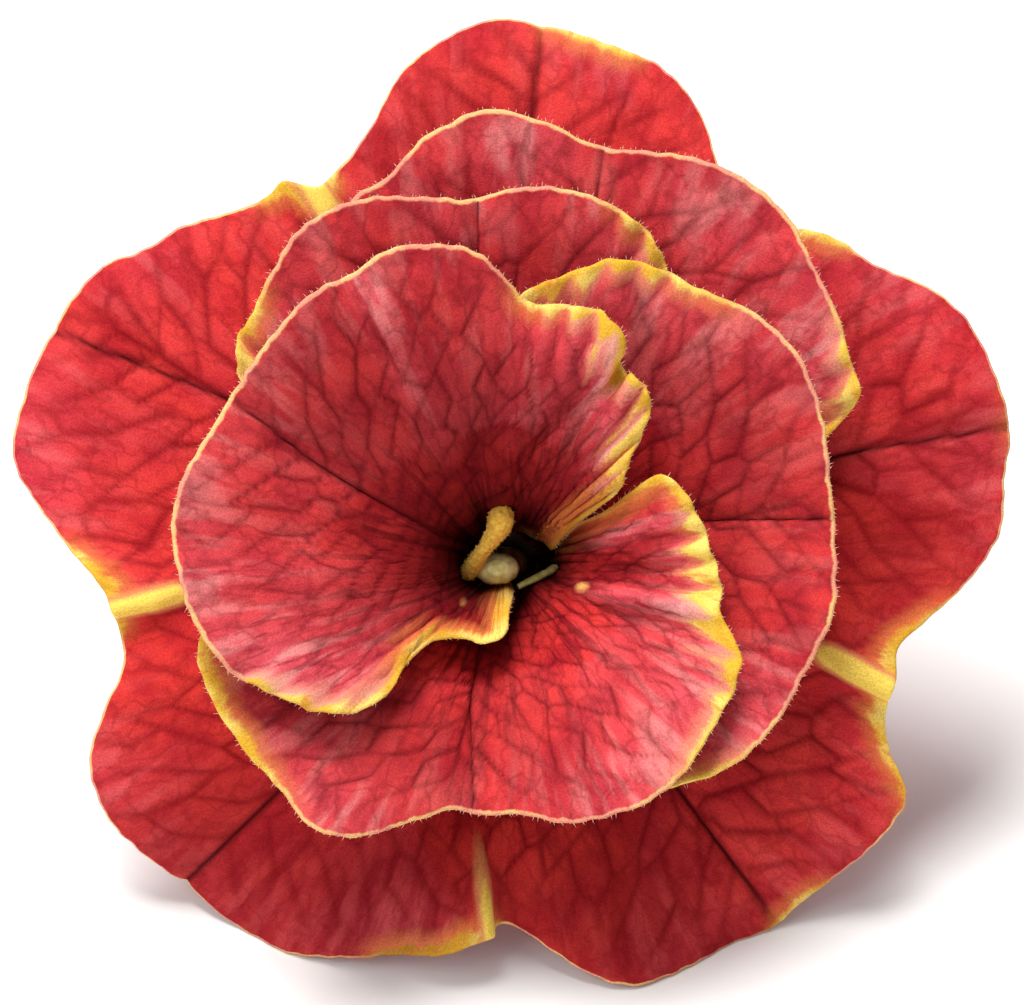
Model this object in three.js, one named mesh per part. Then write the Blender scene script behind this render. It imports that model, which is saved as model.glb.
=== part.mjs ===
// A double calibrachoa flower, picked just under its calyx and lying on a table, face up and outwards.
// It is built like the real one: five petal-like stamens nested inside a funnel of five fused lobes,
// with the pistil in the throat and five sepals on a short stalk behind.
//
// Units are millimetres. Each piece is first shaped in the flower's own frame: z runs out of the throat
// along the flower's axis, x to the right and y up as one looks into the face, and z = 0 is the level at
// which the outer lobes spread. The whole flower is then leaned back until it rests on its two lowest
// lobes and its calyx, and the part's origin is put under the middle of it, at table height.

import * as THREE from "three";
import { mergeVertices } from "three/addons/utils/BufferGeometryUtils.js";

// ---------------------------------------------------------------- driving dimensions

const LEAN_BACK = 47.64; // degrees between the flower's axis and the vertical, as it lies
const ROLL = 0.17; // degrees that the flower is rolled about its own axis as it lies

const FUNNEL = 5.0; // every layer drops to -FUNNEL / (radius - core) near the throat
const LEVEL_AT = 3.0; // radius at which a layer's level is measured, before its slope is added
const PETAL_THICK = 0.35;
const EDGE_LIFT_POWER = 3; // how closely an edge's lift keeps to the edge
const SPREAD_POWER = 2.5; // how soon a blade widens above its claw
const CLAW_HALF_WIDTH = 0.65;

const PETAL_COLUMNS = 24;
const PETAL_ROWS = 8;
const PATH_STEPS = 60; // steps of the fine path that each row is spaced along

// The funnel of fused lobes.
const OUTER = { core: 4.2, level: 0.0, slope: 0.02 };
const OUTER_COLUMNS = 80;
const OUTER_TUBE_ROWS = 5;
const OUTER_LIMB_ROWS = 8;
const RECURVE_FROM = 12; // radius from which the lobes bend back
const RECURVE = 0.016;
// Tube wall below the limb: [radius, height], up to where the limb's own curve takes over.
const TUBE = [
  [1.35, -14.2],
  [1.75, -12.6],
  [2.6, -10.6],
  [3.7, -8.4],
  [4.55, -6.9],
];
const LIMB_FROM = 5.05;

// Rim of the five lobes: [angle in degrees, radius, lift]. The sinuses are pleated, one lobe over the next.
const OUTER_RIM = [
  [91, 20.9, 0.1], [84, 20.6, 0.0], [77, 20.2, -0.1], [72, 19.9, -0.2], [66.5, 18.8, -0.3],
  [61, 17.0, -0.1], [55, 15.6, 0.3], [50, 16.8, 0.1], [45, 17.7, 0.2], [39, 18.2, 0.2],
  [33, 19.4, 0.0], [28, 20.0, -0.1], [21, 20.1, 0.1], [15, 20.0, 0.1], [10, 19.4, 0.0],
  [4, 19.0, 0.1], [-2, 17.7, 0.3], [-8, 16.1, 0.5], [-12, 15.3, 0.8], [-17, 15.6, 0.9],
  [-20, 15.5, 0.2], [-25, 16.1, 0.0], [-30, 17.7, -0.2], [-35, 17.8, -0.7], [-42, 17.5, -1.4],
  [-50, 17.3, -2.0], [-53, 17.5, -2.1], [-58, 17.0, -2.0], [-65, 16.9, -1.0], [-73, 16.8, 0.0],
  [-79, 15.8, 0.0], [-84, 14.6, -0.1], [-90, 13.7, -0.3], [-93.5, 14.4, 0.8], [-98, 15.0, 0.8],
  [-105, 15.4, 0.2], [-112, 16.2, -0.6], [-119, 17.0, -1.4], [-127, 17.3, -2.4], [-136, 17.5, -2.4],
  [-143, 17.9, -1.6], [-149, 18.0, -0.8], [-155, 17.5, -0.3], [-160, 16.3, 0.1], [-165, 15.1, 0.1],
  [-170, 14.9, 0.0], [-174, 15.1, 0.4], [-178, 15.6, 0.9], [-182, 16.6, 0.4], [-187, 17.9, 0.1],
  [-192, 19.2, 0.0], [-199, 19.5, 0.0], [-206, 19.5, 0.1], [-212, 19.4, 0.2], [-217, 19.1, 0.1],
  [-221, 18.3, 0.2], [-226, 17.9, 0.1], [-231, 17.2, 0.2], [-237, 16.7, 0.5], [-240, 16.9, 0.9],
  [-243, 16.1, 0.5], [-248, 16.5, 0.1], [-253, 17.5, 0.0], [-258, 19.2, 0.0], [-263, 20.2, 0.0],
];

// The five petal-like stamens, from the lowest layer to the topmost. Each has its layer's core radius,
// level and slope, the place of its claw, and its free edge from one side of the claw round to the
// other: [angle in degrees, radius, lift].
const INNER_PETALS = [
  {
    name: "inner_petal_back",
    core: 3.55, level: 1.05, slope: 0.1,
    claw: { angle: 62, depth: -6.0 },
    edge: [
      [98, 5.4, 0], [118, 8.0, 0], [122, 11.5, 0], [118, 14.0, 0], [113, 15.0, 0], [107, 15.4, 0.1],
      [100, 16.6, 0.2], [92, 17.3, 0.2], [85, 16.9, 0.1], [77, 16.3, -0.2], [70, 16.7, 0], [62, 17.2, 0.2],
      [52, 17.1, 0.3], [45, 16.4, 0.3], [37, 15.8, 0.3], [30, 15.2, 0.4], [26, 15.0, 0.4], [22, 13.3, 0.2],
      [17, 11.0, 0], [18, 8.0, 0], [34, 5.6, 0],
    ],
  },
  {
    name: "inner_petal_top",
    core: 2.9, level: 2.0, slope: 0.15,
    claw: { angle: 108, depth: -7.5 },
    edge: [
      [141, 4.6, 0], [152, 7.0, 0], [150, 10.0, 0], [145, 12.2, 0.1], [140, 13.2, 0.3], [135, 13.5, 0.3],
      [129, 14.1, 0.4], [121, 14.9, 0.5], [112, 14.9, 0.4], [103, 14.3, 0.2], [95, 13.9, 0], [88, 14.3, 0.3],
      [79, 14.4, 0.5], [70, 14.0, 0.4], [64, 13.3, 0.2], [57, 11.5, 0], [58, 8.0, 0], [76, 4.8, 0],
    ],
  },
  {
    name: "inner_petal_right",
    core: 2.25, level: 2.95, slope: 0.2,
    claw: { angle: 10, depth: -9.0 },
    edge: [
      [72, 3.9, 0], [90, 6.0, 0], [93, 8.6, 0], [86, 10.3, 0.1], [79, 11.1, 0.3], [70, 12.3, 0.5],
      [63, 12.6, 0.4], [54, 12.8, 0.3], [45, 13.4, 0.4], [37, 13.6, 0.4], [29, 13.4, 0.3], [19, 12.9, 0.1],
      [8, 12.5, -0.1], [-2, 12.5, 0.1], [-9, 12.5, 0.2], [-20, 12.0, 0.1], [-31, 11.8, 0.2],
      [-40, 11.5, 0.3], [-49, 10.8, 0.1], [-58, 9.8, 0], [-62, 7.0, 0], [-48, 4.0, 0],
    ],
  },
  {
    name: "inner_petal_bottom",
    core: 1.6, level: 3.9, slope: 0.24,
    claw: { angle: -92, depth: -10.5 },
    edge: [
      [176, 3.2, 0], [170, 5.5, 0], [178, 8.8, 0], [190, 11.2, 0], [196, 12.0, 0.1], [205, 12.1, 0.2],
      [215, 12.0, 0.3], [224, 11.9, 0.2], [233, 12.2, 0.5], [240, 11.8, 0.4], [249, 10.4, 0.1],
      [258, 9.4, -0.3], [266, 9.4, -0.3], [274, 9.4, -0.1], [283, 9.9, 0.2], [293, 10.2, 0.3],
      [304, 10.4, 0.4], [313, 10.2, 0.5], [323, 9.9, 0.5], [332, 9.8, 0.6], [339, 9.5, 0.6],
      [347, 8.5, 0.4], [356, 8.1, 0.5], [365, 7.8, 0.6], [375, 7.5, 0.6], [383, 7.3, 0.9],
      [390, 6.8, 1.0], [389, 5.4, 0.7], [388, 4.3, 0.3], [389, 3.0, 0], [378, 2.2, 0],
    ],
  },
  {
    name: "inner_petal_left",
    core: 0.95, level: 5.0, slope: 0.28,
    claw: { angle: 150, depth: -12.0 },
    edge: [
      [18, 1.7, 0], [28, 2.9, 0], [32, 4.7, 0.2], [35, 5.9, 0.5], [43, 6.9, 0.3], [49, 8.3, 0.5],
      [54, 8.6, 0.6], [59.5, 8.5, 0.2], [63, 9.8, 0.5], [69, 10.2, 0.6], [77, 10.05, 0.3], [86, 10.1, 0.0],
      [91, 10.9, 0.4], [96, 11.9, 0.6], [104, 12.4, 0.7], [111, 12.6, 0.6], [118, 12.4, 0.5],
      [126, 12.5, 0.5], [137, 12.2, 0.4], [148, 12.05, 0.0], [157, 12.2, 0.3], [165, 12.5, 0.5],
      [174, 12.5, 0.4], [183, 12.2, 0.4], [192, 11.7, 0.5], [201, 11.0, 0.4], [209, 9.9, 0.3],
      [217, 9.0, 0.3], [224, 7.9, 0.4], [227, 6.4, 0.3], [223, 5.0, 0.2], [226, 3.7, 0.2],
      [242, 3.05, 0.4], [258, 2.9, 0.4], [273, 2.5, 0.2], [272, 1.6, 0],
    ],
  },
];

// Slender pieces as [x, y, z, half width] from foot to tip, with the share of the width they are thick.
const PISTIL = {
  flat: 1,
  sides: 8,
  rings: 24,
  path: [
    [0, 0, -14.0, 0.3], [0, 0, -13.7, 0.7], [0, 0, -12.9, 0.72], [0, 0, -12.3, 0.35], [0, 0, -10.5, 0.2],
    [-0.05, 0, -6.0, 0.2], [-0.25, -0.05, -2.2, 0.22], [-0.35, -0.1, -1.5, 0.4], [-0.38, -0.1, -0.8, 0.74],
    [-0.36, -0.05, -0.15, 0.68], [-0.34, 0.0, 0.2, 0.3],
  ],
};
const ANTHER = {
  flat: 0.6,
  sides: 8,
  rings: 20,
  path: [
    [-0.75, 0.2, -8.0, 0.22], [-0.95, 0.1, -5.0, 0.24], [-1.25, -0.15, -2.0, 0.28], [-1.35, -0.15, -0.4, 0.34],
    [-1.15, 0.2, 0.55, 0.33], [-0.75, 0.75, 0.95, 0.32], [-0.4, 1.3, 1.15, 0.42], [-0.25, 1.75, 1.25, 0.5],
    [-0.2, 2.1, 1.25, 0.3],
  ],
};
const FILAMENT = {
  flat: 0.8,
  sides: 8,
  rings: 16,
  path: [
    [1.15, 0.25, -9.0, 0.16], [1.35, 0.15, -5.0, 0.17], [1.6, 0.05, -2.8, 0.18], [1.6, -0.25, -1.75, 0.19],
    [1.25, -0.62, -1.3, 0.19], [0.85, -0.92, -1.15, 0.15],
  ],
};

// Stalk: it swells into the receptacle that carries the sepals, the tube and the pistil.
const PEDICEL = {
  flat: 1,
  sides: 12,
  rings: 20,
  path: [
    [0.5, 6.2, -21.2, 0.5], [0.45, 5.6, -20.9, 0.56], [0.35, 4.0, -20.0, 0.55], [0.15, 2.0, -18.7, 0.56],
    [0.0, 0.6, -17.4, 0.68], [0.0, 0.1, -16.6, 1.1], [0.0, 0.0, -15.9, 1.62], [0.0, 0.0, -15.2, 1.75],
    [0.0, 0.0, -14.6, 1.3],
  ],
};

const SEPAL = {
  count: 5,
  first: 54, // degrees, so that each sepal stands behind the gap between two lobes
  thick: 0.4,
  columns: 4,
  rows: 9,
  // Along one sepal, from its foot on the receptacle to its tip: [radius, height, half width].
  run: [
    [2.25, -15.7, 0.75], [2.75, -14.7, 0.85], [3.5, -13.3, 1.0], [4.4, -11.6, 1.05], [5.3, -9.9, 0.85],
    [6.1, -8.4, 0.5], [6.6, -7.5, 0.16],
  ],
  hollow: 0.25, // how far its middle is pressed in, as a share of its half width
};

const COLOURS = {
  limb: { color: 0xb5262f, roughness: 0.75 },
  inner: { color: 0xb8303c, roughness: 0.75 },
  pistil: { color: 0xc8c070, roughness: 0.45 },
  anther: { color: 0xe0a030, roughness: 0.6 },
  filament: { color: 0xb4ae5c, roughness: 0.5 },
  green: { color: 0x6f8f3c, roughness: 0.7 },
};

// ---------------------------------------------------------------- shapes

const toRadians = THREE.MathUtils.degToRad;

// Height of a layer at a radius: flat to gently cupped outside, and diving into the throat at its core.
function layerHeight(layer, radius) {
  return layer.level + layer.slope * (radius - LEVEL_AT) - FUNNEL / (radius - layer.core);
}

function polar(angle, radius, height) {
  return new THREE.Vector3(radius * Math.cos(angle), radius * Math.sin(angle), height);
}

// Points of a smooth curve through [angle in degrees, radius, lift] rows, evenly spaced, as x, y and lift.
function edgePoints(rows, count, closed) {
  const through = rows.map(([degrees, radius, lift]) => polar(toRadians(degrees), radius, lift));
  const curve = new THREE.CatmullRomCurve3(through, closed, "centripetal");
  curve.arcLengthDivisions = 40 * rows.length;
  const points = curve.getSpacedPoints(count);
  return closed ? points.slice(0, count) : points;
}

// rows + 1 points evenly spaced along a finely stepped path.
function evenly(path, rows) {
  const curve = new THREE.CatmullRomCurve3(path);
  curve.arcLengthDivisions = 4 * path.length;
  return curve.getSpacedPoints(rows);
}

// The blade of one inner petal as columns of points, each running from the claw to the free edge.
function petalGrid({ core, level, slope, claw, edge }) {
  const layer = { core, level, slope };
  const clawAngle = toRadians(claw.angle);
  const clawGap = FUNNEL / (level - claw.depth); // radius beyond the core at the claw's foot
  const clawSpread = CLAW_HALF_WIDTH / (core + clawGap);
  const rim = edgePoints(edge, PETAL_COLUMNS, false);
  const turns = rim.map((p) => {
    const turn = Math.atan2(p.y, p.x) - clawAngle;
    return Math.atan2(Math.sin(turn), Math.cos(turn));
  });
  const side = Math.sign(turns[0]);
  return rim.map((p, i) => {
    const share = i / PETAL_COLUMNS;
    const startTurn = side * clawSpread * (1 - 2 * share);
    const edgeGap = Math.hypot(p.x, p.y) - core;
    const path = [];
    for (let k = 0; k <= PATH_STEPS; k++) {
      const t = k / PATH_STEPS;
      const gap = clawGap * (edgeGap / clawGap) ** t;
      const turn = startTurn + (turns[i] - startTurn) * (1 - (1 - t) ** SPREAD_POWER);
      const height = layerHeight(layer, core + gap) + p.z * t ** EDGE_LIFT_POWER;
      path.push(polar(clawAngle + turn, core + gap, height));
    }
    return evenly(path, PETAL_ROWS);
  });
}

// The fused lobes and their tube as columns of points, from the tube's foot to the rim.
function outerGrid() {
  const tube = TUBE.map(([radius, height]) => new THREE.Vector3(radius, 0, height));
  tube.push(new THREE.Vector3(LIMB_FROM, 0, layerHeight(OUTER, LIMB_FROM)));
  const wall = new THREE.CatmullRomCurve3(tube).getSpacedPoints(OUTER_TUBE_ROWS);
  return edgePoints(OUTER_RIM, OUTER_COLUMNS, true).map((p) => {
    const angle = Math.atan2(p.y, p.x);
    const rimRadius = Math.hypot(p.x, p.y);
    const path = [];
    for (let k = 0; k <= PATH_STEPS; k++) {
      const t = k / PATH_STEPS;
      const radius = LIMB_FROM + (rimRadius - LIMB_FROM) * t;
      const back = RECURVE * Math.max(0, radius - RECURVE_FROM) ** 2;
      path.push(polar(angle, radius, layerHeight(OUTER, radius) - back + p.z * t ** EDGE_LIFT_POWER));
    }
    const tubeColumn = wall.slice(0, -1).map((w) => polar(angle, w.x, w.z));
    return [...tubeColumn, ...evenly(path, OUTER_LIMB_ROWS)];
  });
}

// A sepal as columns of points from its foot to its tip, before it is turned to its place.
function sepalGrid() {
  const { run, columns, rows, hollow } = SEPAL;
  const spine = new THREE.CatmullRomCurve3(run.map(([r, z, w]) => new THREE.Vector3(r, w, z)));
  const along = spine.getSpacedPoints(rows);
  const grid = [];
  for (let i = 0; i <= columns; i++) {
    const across = (2 * i) / columns - 1;
    grid.push(along.map((p) => {
      const dip = hollow * p.y * (1 - across * across);
      return new THREE.Vector3(p.x - dip, across * p.y, p.z);
    }));
  }
  return grid;
}

// Closed shell of even thickness around a grid of columns. closed joins the last column to the first.
function shell(grid, thick, closed = false) {
  const columns = grid.length;
  const rows = grid[0].length;
  const at = (i, j) => {
    const column = closed ? (i + columns) % columns : THREE.MathUtils.clamp(i, 0, columns - 1);
    return grid[column][THREE.MathUtils.clamp(j, 0, rows - 1)];
  };
  const positions = [];
  for (const offset of [thick / 2, -thick / 2]) {
    for (let i = 0; i < columns; i++) {
      for (let j = 0; j < rows; j++) {
        const around = at(i + 1, j).clone().sub(at(i - 1, j));
        const along = at(i, j + 1).clone().sub(at(i, j - 1));
        const normal = along.cross(around).normalize();
        positions.push(...at(i, j).clone().addScaledVector(normal, offset).toArray());
      }
    }
  }
  const index = (i, j, below) => below * columns * rows + (i % columns) * rows + j;
  const faces = [];
  const quad = (a, b, c, d) => faces.push(a, b, c, a, c, d);
  const strips = closed ? columns : columns - 1;
  for (let i = 0; i < strips; i++) {
    for (let j = 0; j < rows - 1; j++) {
      quad(index(i, j, 0), index(i, j + 1, 0), index(i + 1, j + 1, 0), index(i + 1, j, 0));
      quad(index(i, j, 1), index(i + 1, j, 1), index(i + 1, j + 1, 1), index(i, j + 1, 1));
    }
    quad(index(i, 0, 0), index(i + 1, 0, 0), index(i + 1, 0, 1), index(i, 0, 1));
    quad(index(i, rows - 1, 0), index(i, rows - 1, 1), index(i + 1, rows - 1, 1), index(i + 1, rows - 1, 0));
  }
  if (!closed) {
    for (let j = 0; j < rows - 1; j++) {
      quad(index(0, j, 0), index(0, j, 1), index(0, j + 1, 1), index(0, j + 1, 0));
      const last = columns - 1;
      quad(index(last, j, 0), index(last, j + 1, 0), index(last, j + 1, 1), index(last, j, 1));
    }
  }
  return solidGeometry(positions, faces);
}

// A rounded stem of changing width along a path of [x, y, z, half width], closed at both ends.
function stem({ path, flat, sides, rings }) {
  const spine = new THREE.CatmullRomCurve3(path.map(([x, y, z]) => new THREE.Vector3(x, y, z)));
  const widths = new THREE.CatmullRomCurve3(path.map(([, , , w], i) => new THREE.Vector3(i, w, 0)));
  const frames = spine.computeFrenetFrames(rings);
  const positions = [];
  for (let k = 0; k <= rings; k++) {
    const t = k / rings;
    const centre = spine.getPointAt(t);
    const width = widths.getPoint(spine.getUtoTmapping(t)).y;
    for (let s = 0; s < sides; s++) {
      const turn = (2 * Math.PI * s) / sides;
      const point = centre.clone()
        .addScaledVector(frames.normals[k], width * flat * Math.cos(turn))
        .addScaledVector(frames.binormals[k], width * Math.sin(turn));
      positions.push(...point.toArray());
    }
  }
  const faces = [];
  for (let k = 0; k < rings; k++) {
    for (let s = 0; s < sides; s++) {
      const a = k * sides + s;
      const b = k * sides + ((s + 1) % sides);
      faces.push(a, b, b + sides, a, b + sides, a + sides);
    }
  }
  const top = rings * sides;
  for (let s = 1; s < sides - 1; s++) {
    faces.push(0, s + 1, s);
    faces.push(top, top + s, top + s + 1);
  }
  return solidGeometry(positions, faces);
}

// A geometry from positions and faces, turned right side out.
function solidGeometry(positions, faces) {
  const geometry = new THREE.BufferGeometry();
  geometry.setAttribute("position", new THREE.Float32BufferAttribute(positions, 3));
  geometry.setIndex(faces);
  if (signedVolume(positions, faces) < 0) {
    for (let f = 0; f < faces.length; f += 3) {
      [faces[f + 1], faces[f + 2]] = [faces[f + 2], faces[f + 1]];
    }
    geometry.setIndex(faces);
  }
  const merged = mergeVertices(geometry);
  merged.computeVertexNormals();
  return merged;
}

function signedVolume(positions, faces) {
  const corner = (n) => new THREE.Vector3().fromArray(positions, 3 * n);
  let sum = 0;
  for (let f = 0; f < faces.length; f += 3) {
    sum += corner(faces[f]).dot(corner(faces[f + 1]).cross(corner(faces[f + 2]))) / 6;
  }
  return sum;
}

// ---------------------------------------------------------------- the flower

function piece(name, geometry, finish) {
  const material = new THREE.MeshStandardMaterial({ metalness: 0, side: THREE.DoubleSide, ...finish });
  const mesh = new THREE.Mesh(geometry, material);
  mesh.name = name;
  return mesh;
}

function sepals() {
  const geometry = shell(sepalGrid(), SEPAL.thick);
  return Array.from({ length: SEPAL.count }, (_, n) => {
    const sepal = piece(`sepal_${n + 1}`, geometry, COLOURS.green);
    sepal.rotation.z = toRadians(SEPAL.first + (360 / SEPAL.count) * n);
    return sepal;
  });
}

const flower = new THREE.Group();
flower.add(piece("outer_corolla", shell(outerGrid(), PETAL_THICK, true), COLOURS.limb));
for (const petal of INNER_PETALS) {
  flower.add(piece(petal.name, shell(petalGrid(petal), PETAL_THICK), COLOURS.inner));
}
flower.add(piece("pistil", stem(PISTIL), COLOURS.pistil));
flower.add(piece("anther", stem(ANTHER), COLOURS.anther));
flower.add(piece("filament", stem(FILAMENT), COLOURS.filament));
flower.add(...sepals());
flower.add(piece("pedicel", stem(PEDICEL), COLOURS.green));
flower.rotation.order = "XYZ";
flower.rotation.x = toRadians(LEAN_BACK);
flower.rotation.z = toRadians(ROLL);

// The origin goes under the middle of the flower's box, at the height of its lowest point.
const lying = new THREE.Group();
lying.add(flower);
lying.updateMatrixWorld(true);
const box = new THREE.Box3().setFromObject(lying, true);
flower.position.set(-(box.min.x + box.max.x) / 2, -(box.min.y + box.max.y) / 2, -box.min.z);

export default lying;
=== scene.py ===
# %% [markdown]
# # A double calibrachoa flower
#
# A double flower has one ring of ordinary petals, fused into a funnel, and inside it a nest of stamens
# that grew into petals of their own. This one was picked just under its green calyx and lies on a table,
# leaning back on two of its lobes. The frame already holds the plain solids of every piece. Here each of
# them is built again as a fine mesh with its folds, veins and hairs, in the same place.

# %% Load the frame
import math
import bpy
import numpy as np
from mathutils import Matrix, Vector


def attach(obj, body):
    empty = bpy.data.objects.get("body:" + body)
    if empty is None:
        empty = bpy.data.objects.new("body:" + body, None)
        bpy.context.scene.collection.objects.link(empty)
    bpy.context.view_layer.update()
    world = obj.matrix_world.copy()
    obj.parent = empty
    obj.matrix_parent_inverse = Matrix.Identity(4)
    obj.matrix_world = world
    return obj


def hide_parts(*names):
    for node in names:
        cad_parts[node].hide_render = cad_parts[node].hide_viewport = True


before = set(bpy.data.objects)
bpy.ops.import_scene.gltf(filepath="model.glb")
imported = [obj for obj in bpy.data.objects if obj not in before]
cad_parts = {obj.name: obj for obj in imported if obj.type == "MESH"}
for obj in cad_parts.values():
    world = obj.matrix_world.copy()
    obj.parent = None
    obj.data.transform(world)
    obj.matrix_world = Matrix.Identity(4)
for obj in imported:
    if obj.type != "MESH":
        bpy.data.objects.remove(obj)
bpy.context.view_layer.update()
print("frame nodes:", sorted(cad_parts))

# %% [markdown]
# ## The flower's own frame
#
# A flower is easiest to shape looking straight into its face: x to the right, y up, z out of the throat,
# in millimetres, with polar angles for the petals around the middle. One matrix then lays the finished
# shape down. Its lean and its place are those of the frame's solids.

# %% From the flower's frame to the table
LEAN_BACK = 47.64  # degrees
ROLL = 0.17
THROAT_AT = Vector((-0.2509, -4.3164, 12.4230))  # mm

turn = Matrix.Rotation(math.radians(LEAN_BACK), 4, "X") @ Matrix.Rotation(math.radians(ROLL), 4, "Z")
lay = np.array(Matrix.Translation(THROAT_AT / 1000) @ turn @ Matrix.Scale(0.001, 4))


def lay_down(points):
    """Points of the flower's frame in mm, as metres on the table."""
    return np.asarray(points) @ lay[:3, :3].T + lay[:3, 3]


def polar(angle, radius, height):
    """Points from angles in radians, radii and heights."""
    return np.stack([radius * np.cos(angle), radius * np.sin(angle), height + 0 * angle * radius], -1)


print("the throat is at", [round(float(c), 2) for c in lay_down([[0, 0, 0]])[0] * 1000], "mm")

# %% [markdown]
# ## Smooth lines from few points
#
# The free edge of a petal is drawn through a handful of points, each with its angle, its distance from
# the middle and how far the edge lifts there. A centripetal Catmull-Rom curve passes through all of them
# without overshooting, which suits a wavy edge better than a Bezier with handles to set by hand.

# %% Curves through points
CURVE_STEPS = 24


def smooth_line(points, closed=False):
    """A fine polyline on the centripetal Catmull-Rom curve through rows of any width.

    The first three columns are the place, and the rest are carried along with it."""
    p = np.asarray(points, float)
    ends = (p[-1:], p[:2]) if closed else (2 * p[:1] - p[1:2], 2 * p[-1:] - p[-2:-1])
    p = np.vstack([ends[0], p, ends[1]])
    spans = []
    for a, b, c, d in zip(p[:-3], p[1:-2], p[2:-1], p[3:]):
        knots = [0.0]
        for m, n in ((a, b), (b, c), (c, d)):
            knots.append(knots[-1] + max(np.linalg.norm((n - m)[:3]), 1e-6) ** 0.5)
        t = np.linspace(knots[1], knots[2], CURVE_STEPS, endpoint=False)[:, None]

        def between(m, n, i, j):
            return ((knots[j] - t) * m + (t - knots[i]) * n) / (knots[j] - knots[i])

        ab, bc, cd = between(a, b, 0, 1), between(b, c, 1, 2), between(c, d, 2, 3)
        spans.append(between(between(ab, bc, 0, 2), between(bc, cd, 1, 3), 1, 2))
    line = np.vstack(spans)
    return np.vstack([line, line[:1]]) if closed else np.vstack([line, p[-2:-1]])


def along(line):
    """Distance along a polyline at each of its points."""
    return np.concatenate([[0], np.cumsum(np.linalg.norm(np.diff(line[:, :3], axis=0), axis=1))])


def resample(line, shares):
    """Rows of a polyline at shares of its length."""
    s = along(line)
    return np.stack([np.interp(shares * s[-1], s, column) for column in line.T], -1)


def edge_line(rows, closed=False):
    """The free edge through rows of [degrees, radius, lift, yellow, blush]: x, y, lift, yellow, blush."""
    rows = np.asarray(rows, float)
    start = polar(np.radians(rows[:, 0]), rows[:, 1], rows[:, 2])
    return smooth_line(np.hstack([start, rows[:, 3:]]), closed)


# %% [markdown]
# ## Every layer is a little trumpet
#
# Seen in section, each layer of the flower lies nearly flat outside and dives into the throat, as
# -FUNNEL / (radius - core) does. Layers that share this shape but have smaller cores and higher levels
# nest inside each other without touching, all the way down the tube.

# %% The section of a layer
FUNNEL = 5.0  # square mm: how fast a layer dives as it nears its core
LEVEL_AT = 3.0  # mm from the middle
PATH_STEPS = 220


def layer_height(core, level, slope, radius):
    return level + slope * (radius - LEVEL_AT) - FUNNEL / (radius - core)


def rows_along(paths, rows, power):
    """Each path (columns, steps, 3) resampled to rows + 1 points, closer together at the free edge."""
    shares = (np.arange(rows + 1) / rows) ** power
    return np.stack([resample(path, shares) for path in paths])


# %% [markdown]
# ## Veins
#
# Petal veins leave the midrib at a slant, fan out to the edge, and are tied together by slanting cross
# veins, so that they enclose long cells. They are laid out on a jittered honeycomb in two coordinates:
# one stays the same along a vein, and the other is the logarithm of the radius, so that cells grow
# outwards as they do on the petal. Then each vein is drawn on the mesh by its distance in millimetres.

# %% A network of veins
rng = np.random.default_rng(11)
LEAVES_MIDRIB = 0.62  # how strongly side veins slant away from the midrib
SLANT_ENDS = 1.15  # radians from the midrib where veins run straight out of the throat


def vein_places(lane, log_radius, side, midrib, rim):
    """x and y of points given by their lane from the midrib (radians at the rim) and log of radius."""
    slant = LEAVES_MIDRIB * np.maximum(math.log(rim) - log_radius, 0)
    inner = (lane - slant) / np.maximum(1 - slant / SLANT_ENDS, 0.15)
    angle = np.where(lane < SLANT_ENDS, np.maximum(inner, 0), lane)
    turned = midrib + side * angle
    return np.stack([np.exp(log_radius) * np.cos(turned), np.exp(log_radius) * np.sin(turned)], -1)


def vein_segments(midrib, rim, reach, lane_width, cell_length, inner=2.0):
    """Short straight pieces of vein: x0, y0, x1, y1, strength, width. reach is (left, right) in radians."""
    pieces = []
    for side, span in zip((1, -1), reach):
        lanes = int(span / lane_width) + 2
        steps = int(math.log(rim * 1.08 / inner) / cell_length) + 2
        j, i = np.meshgrid(np.arange(lanes), np.arange(steps), indexing="ij")
        zigzag = 0.24 * np.where((i + j) % 2, -1, 1)
        lane = (j + 0.55 + zigzag + rng.uniform(-0.2, 0.2, j.shape)) * lane_width
        radius = math.log(inner) + (i + 0.35 * (j % 3) + rng.uniform(-0.36, 0.36, j.shape)) * cell_length
        links = []
        for a in range(lanes):
            for b in range(steps):
                if b + 1 < steps:
                    links.append(((a, b), (a, b + 1), rng.uniform(0.55, 1.0), rng.uniform(0.85, 1.2)))
                if a + 1 < lanes and (a + b) % 2 == 0 and rng.random() < 0.9:
                    links.append(((a, b), (a + 1, b), rng.uniform(0.45, 0.95), rng.uniform(0.7, 1.0)))
        t = np.linspace(0, 1, 4)
        for start, end, strength, width in links:
            places = vein_places(
                lane[start] + (lane[end] - lane[start]) * t,
                radius[start] + (radius[end] - radius[start]) * t, side, midrib, rim)
            for p, q in zip(places[:-1], places[1:]):
                pieces.append([*p, *q, strength, width])
    return np.array(pieces)


def draw_lines(x, y, pieces, width):
    """Strength of the nearest line at each place, fading over width (mm, may vary from place to place)."""
    shade = np.zeros_like(x)
    reach = 2.2 * float(np.max(width))
    for x0, y0, x1, y1, strength, thick in pieces:
        near = np.nonzero(
            (x > min(x0, x1) - reach) & (x < max(x0, x1) + reach)
            & (y > min(y0, y1) - reach) & (y < max(y0, y1) + reach))
        if not len(near[0]):
            continue
        dx, dy = x1 - x0, y1 - y0
        t = np.clip(((x[near] - x0) * dx + (y[near] - y0) * dy) / max(dx * dx + dy * dy, 1e-9), 0, 1)
        away = np.hypot(x[near] - x0 - t * dx, y[near] - y0 - t * dy)
        fade = thick * (width[near] if np.ndim(width) else width)
        shade[near] = np.maximum(shade[near], strength * np.exp(-((away / fade) ** 2)))
    return shade


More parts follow.
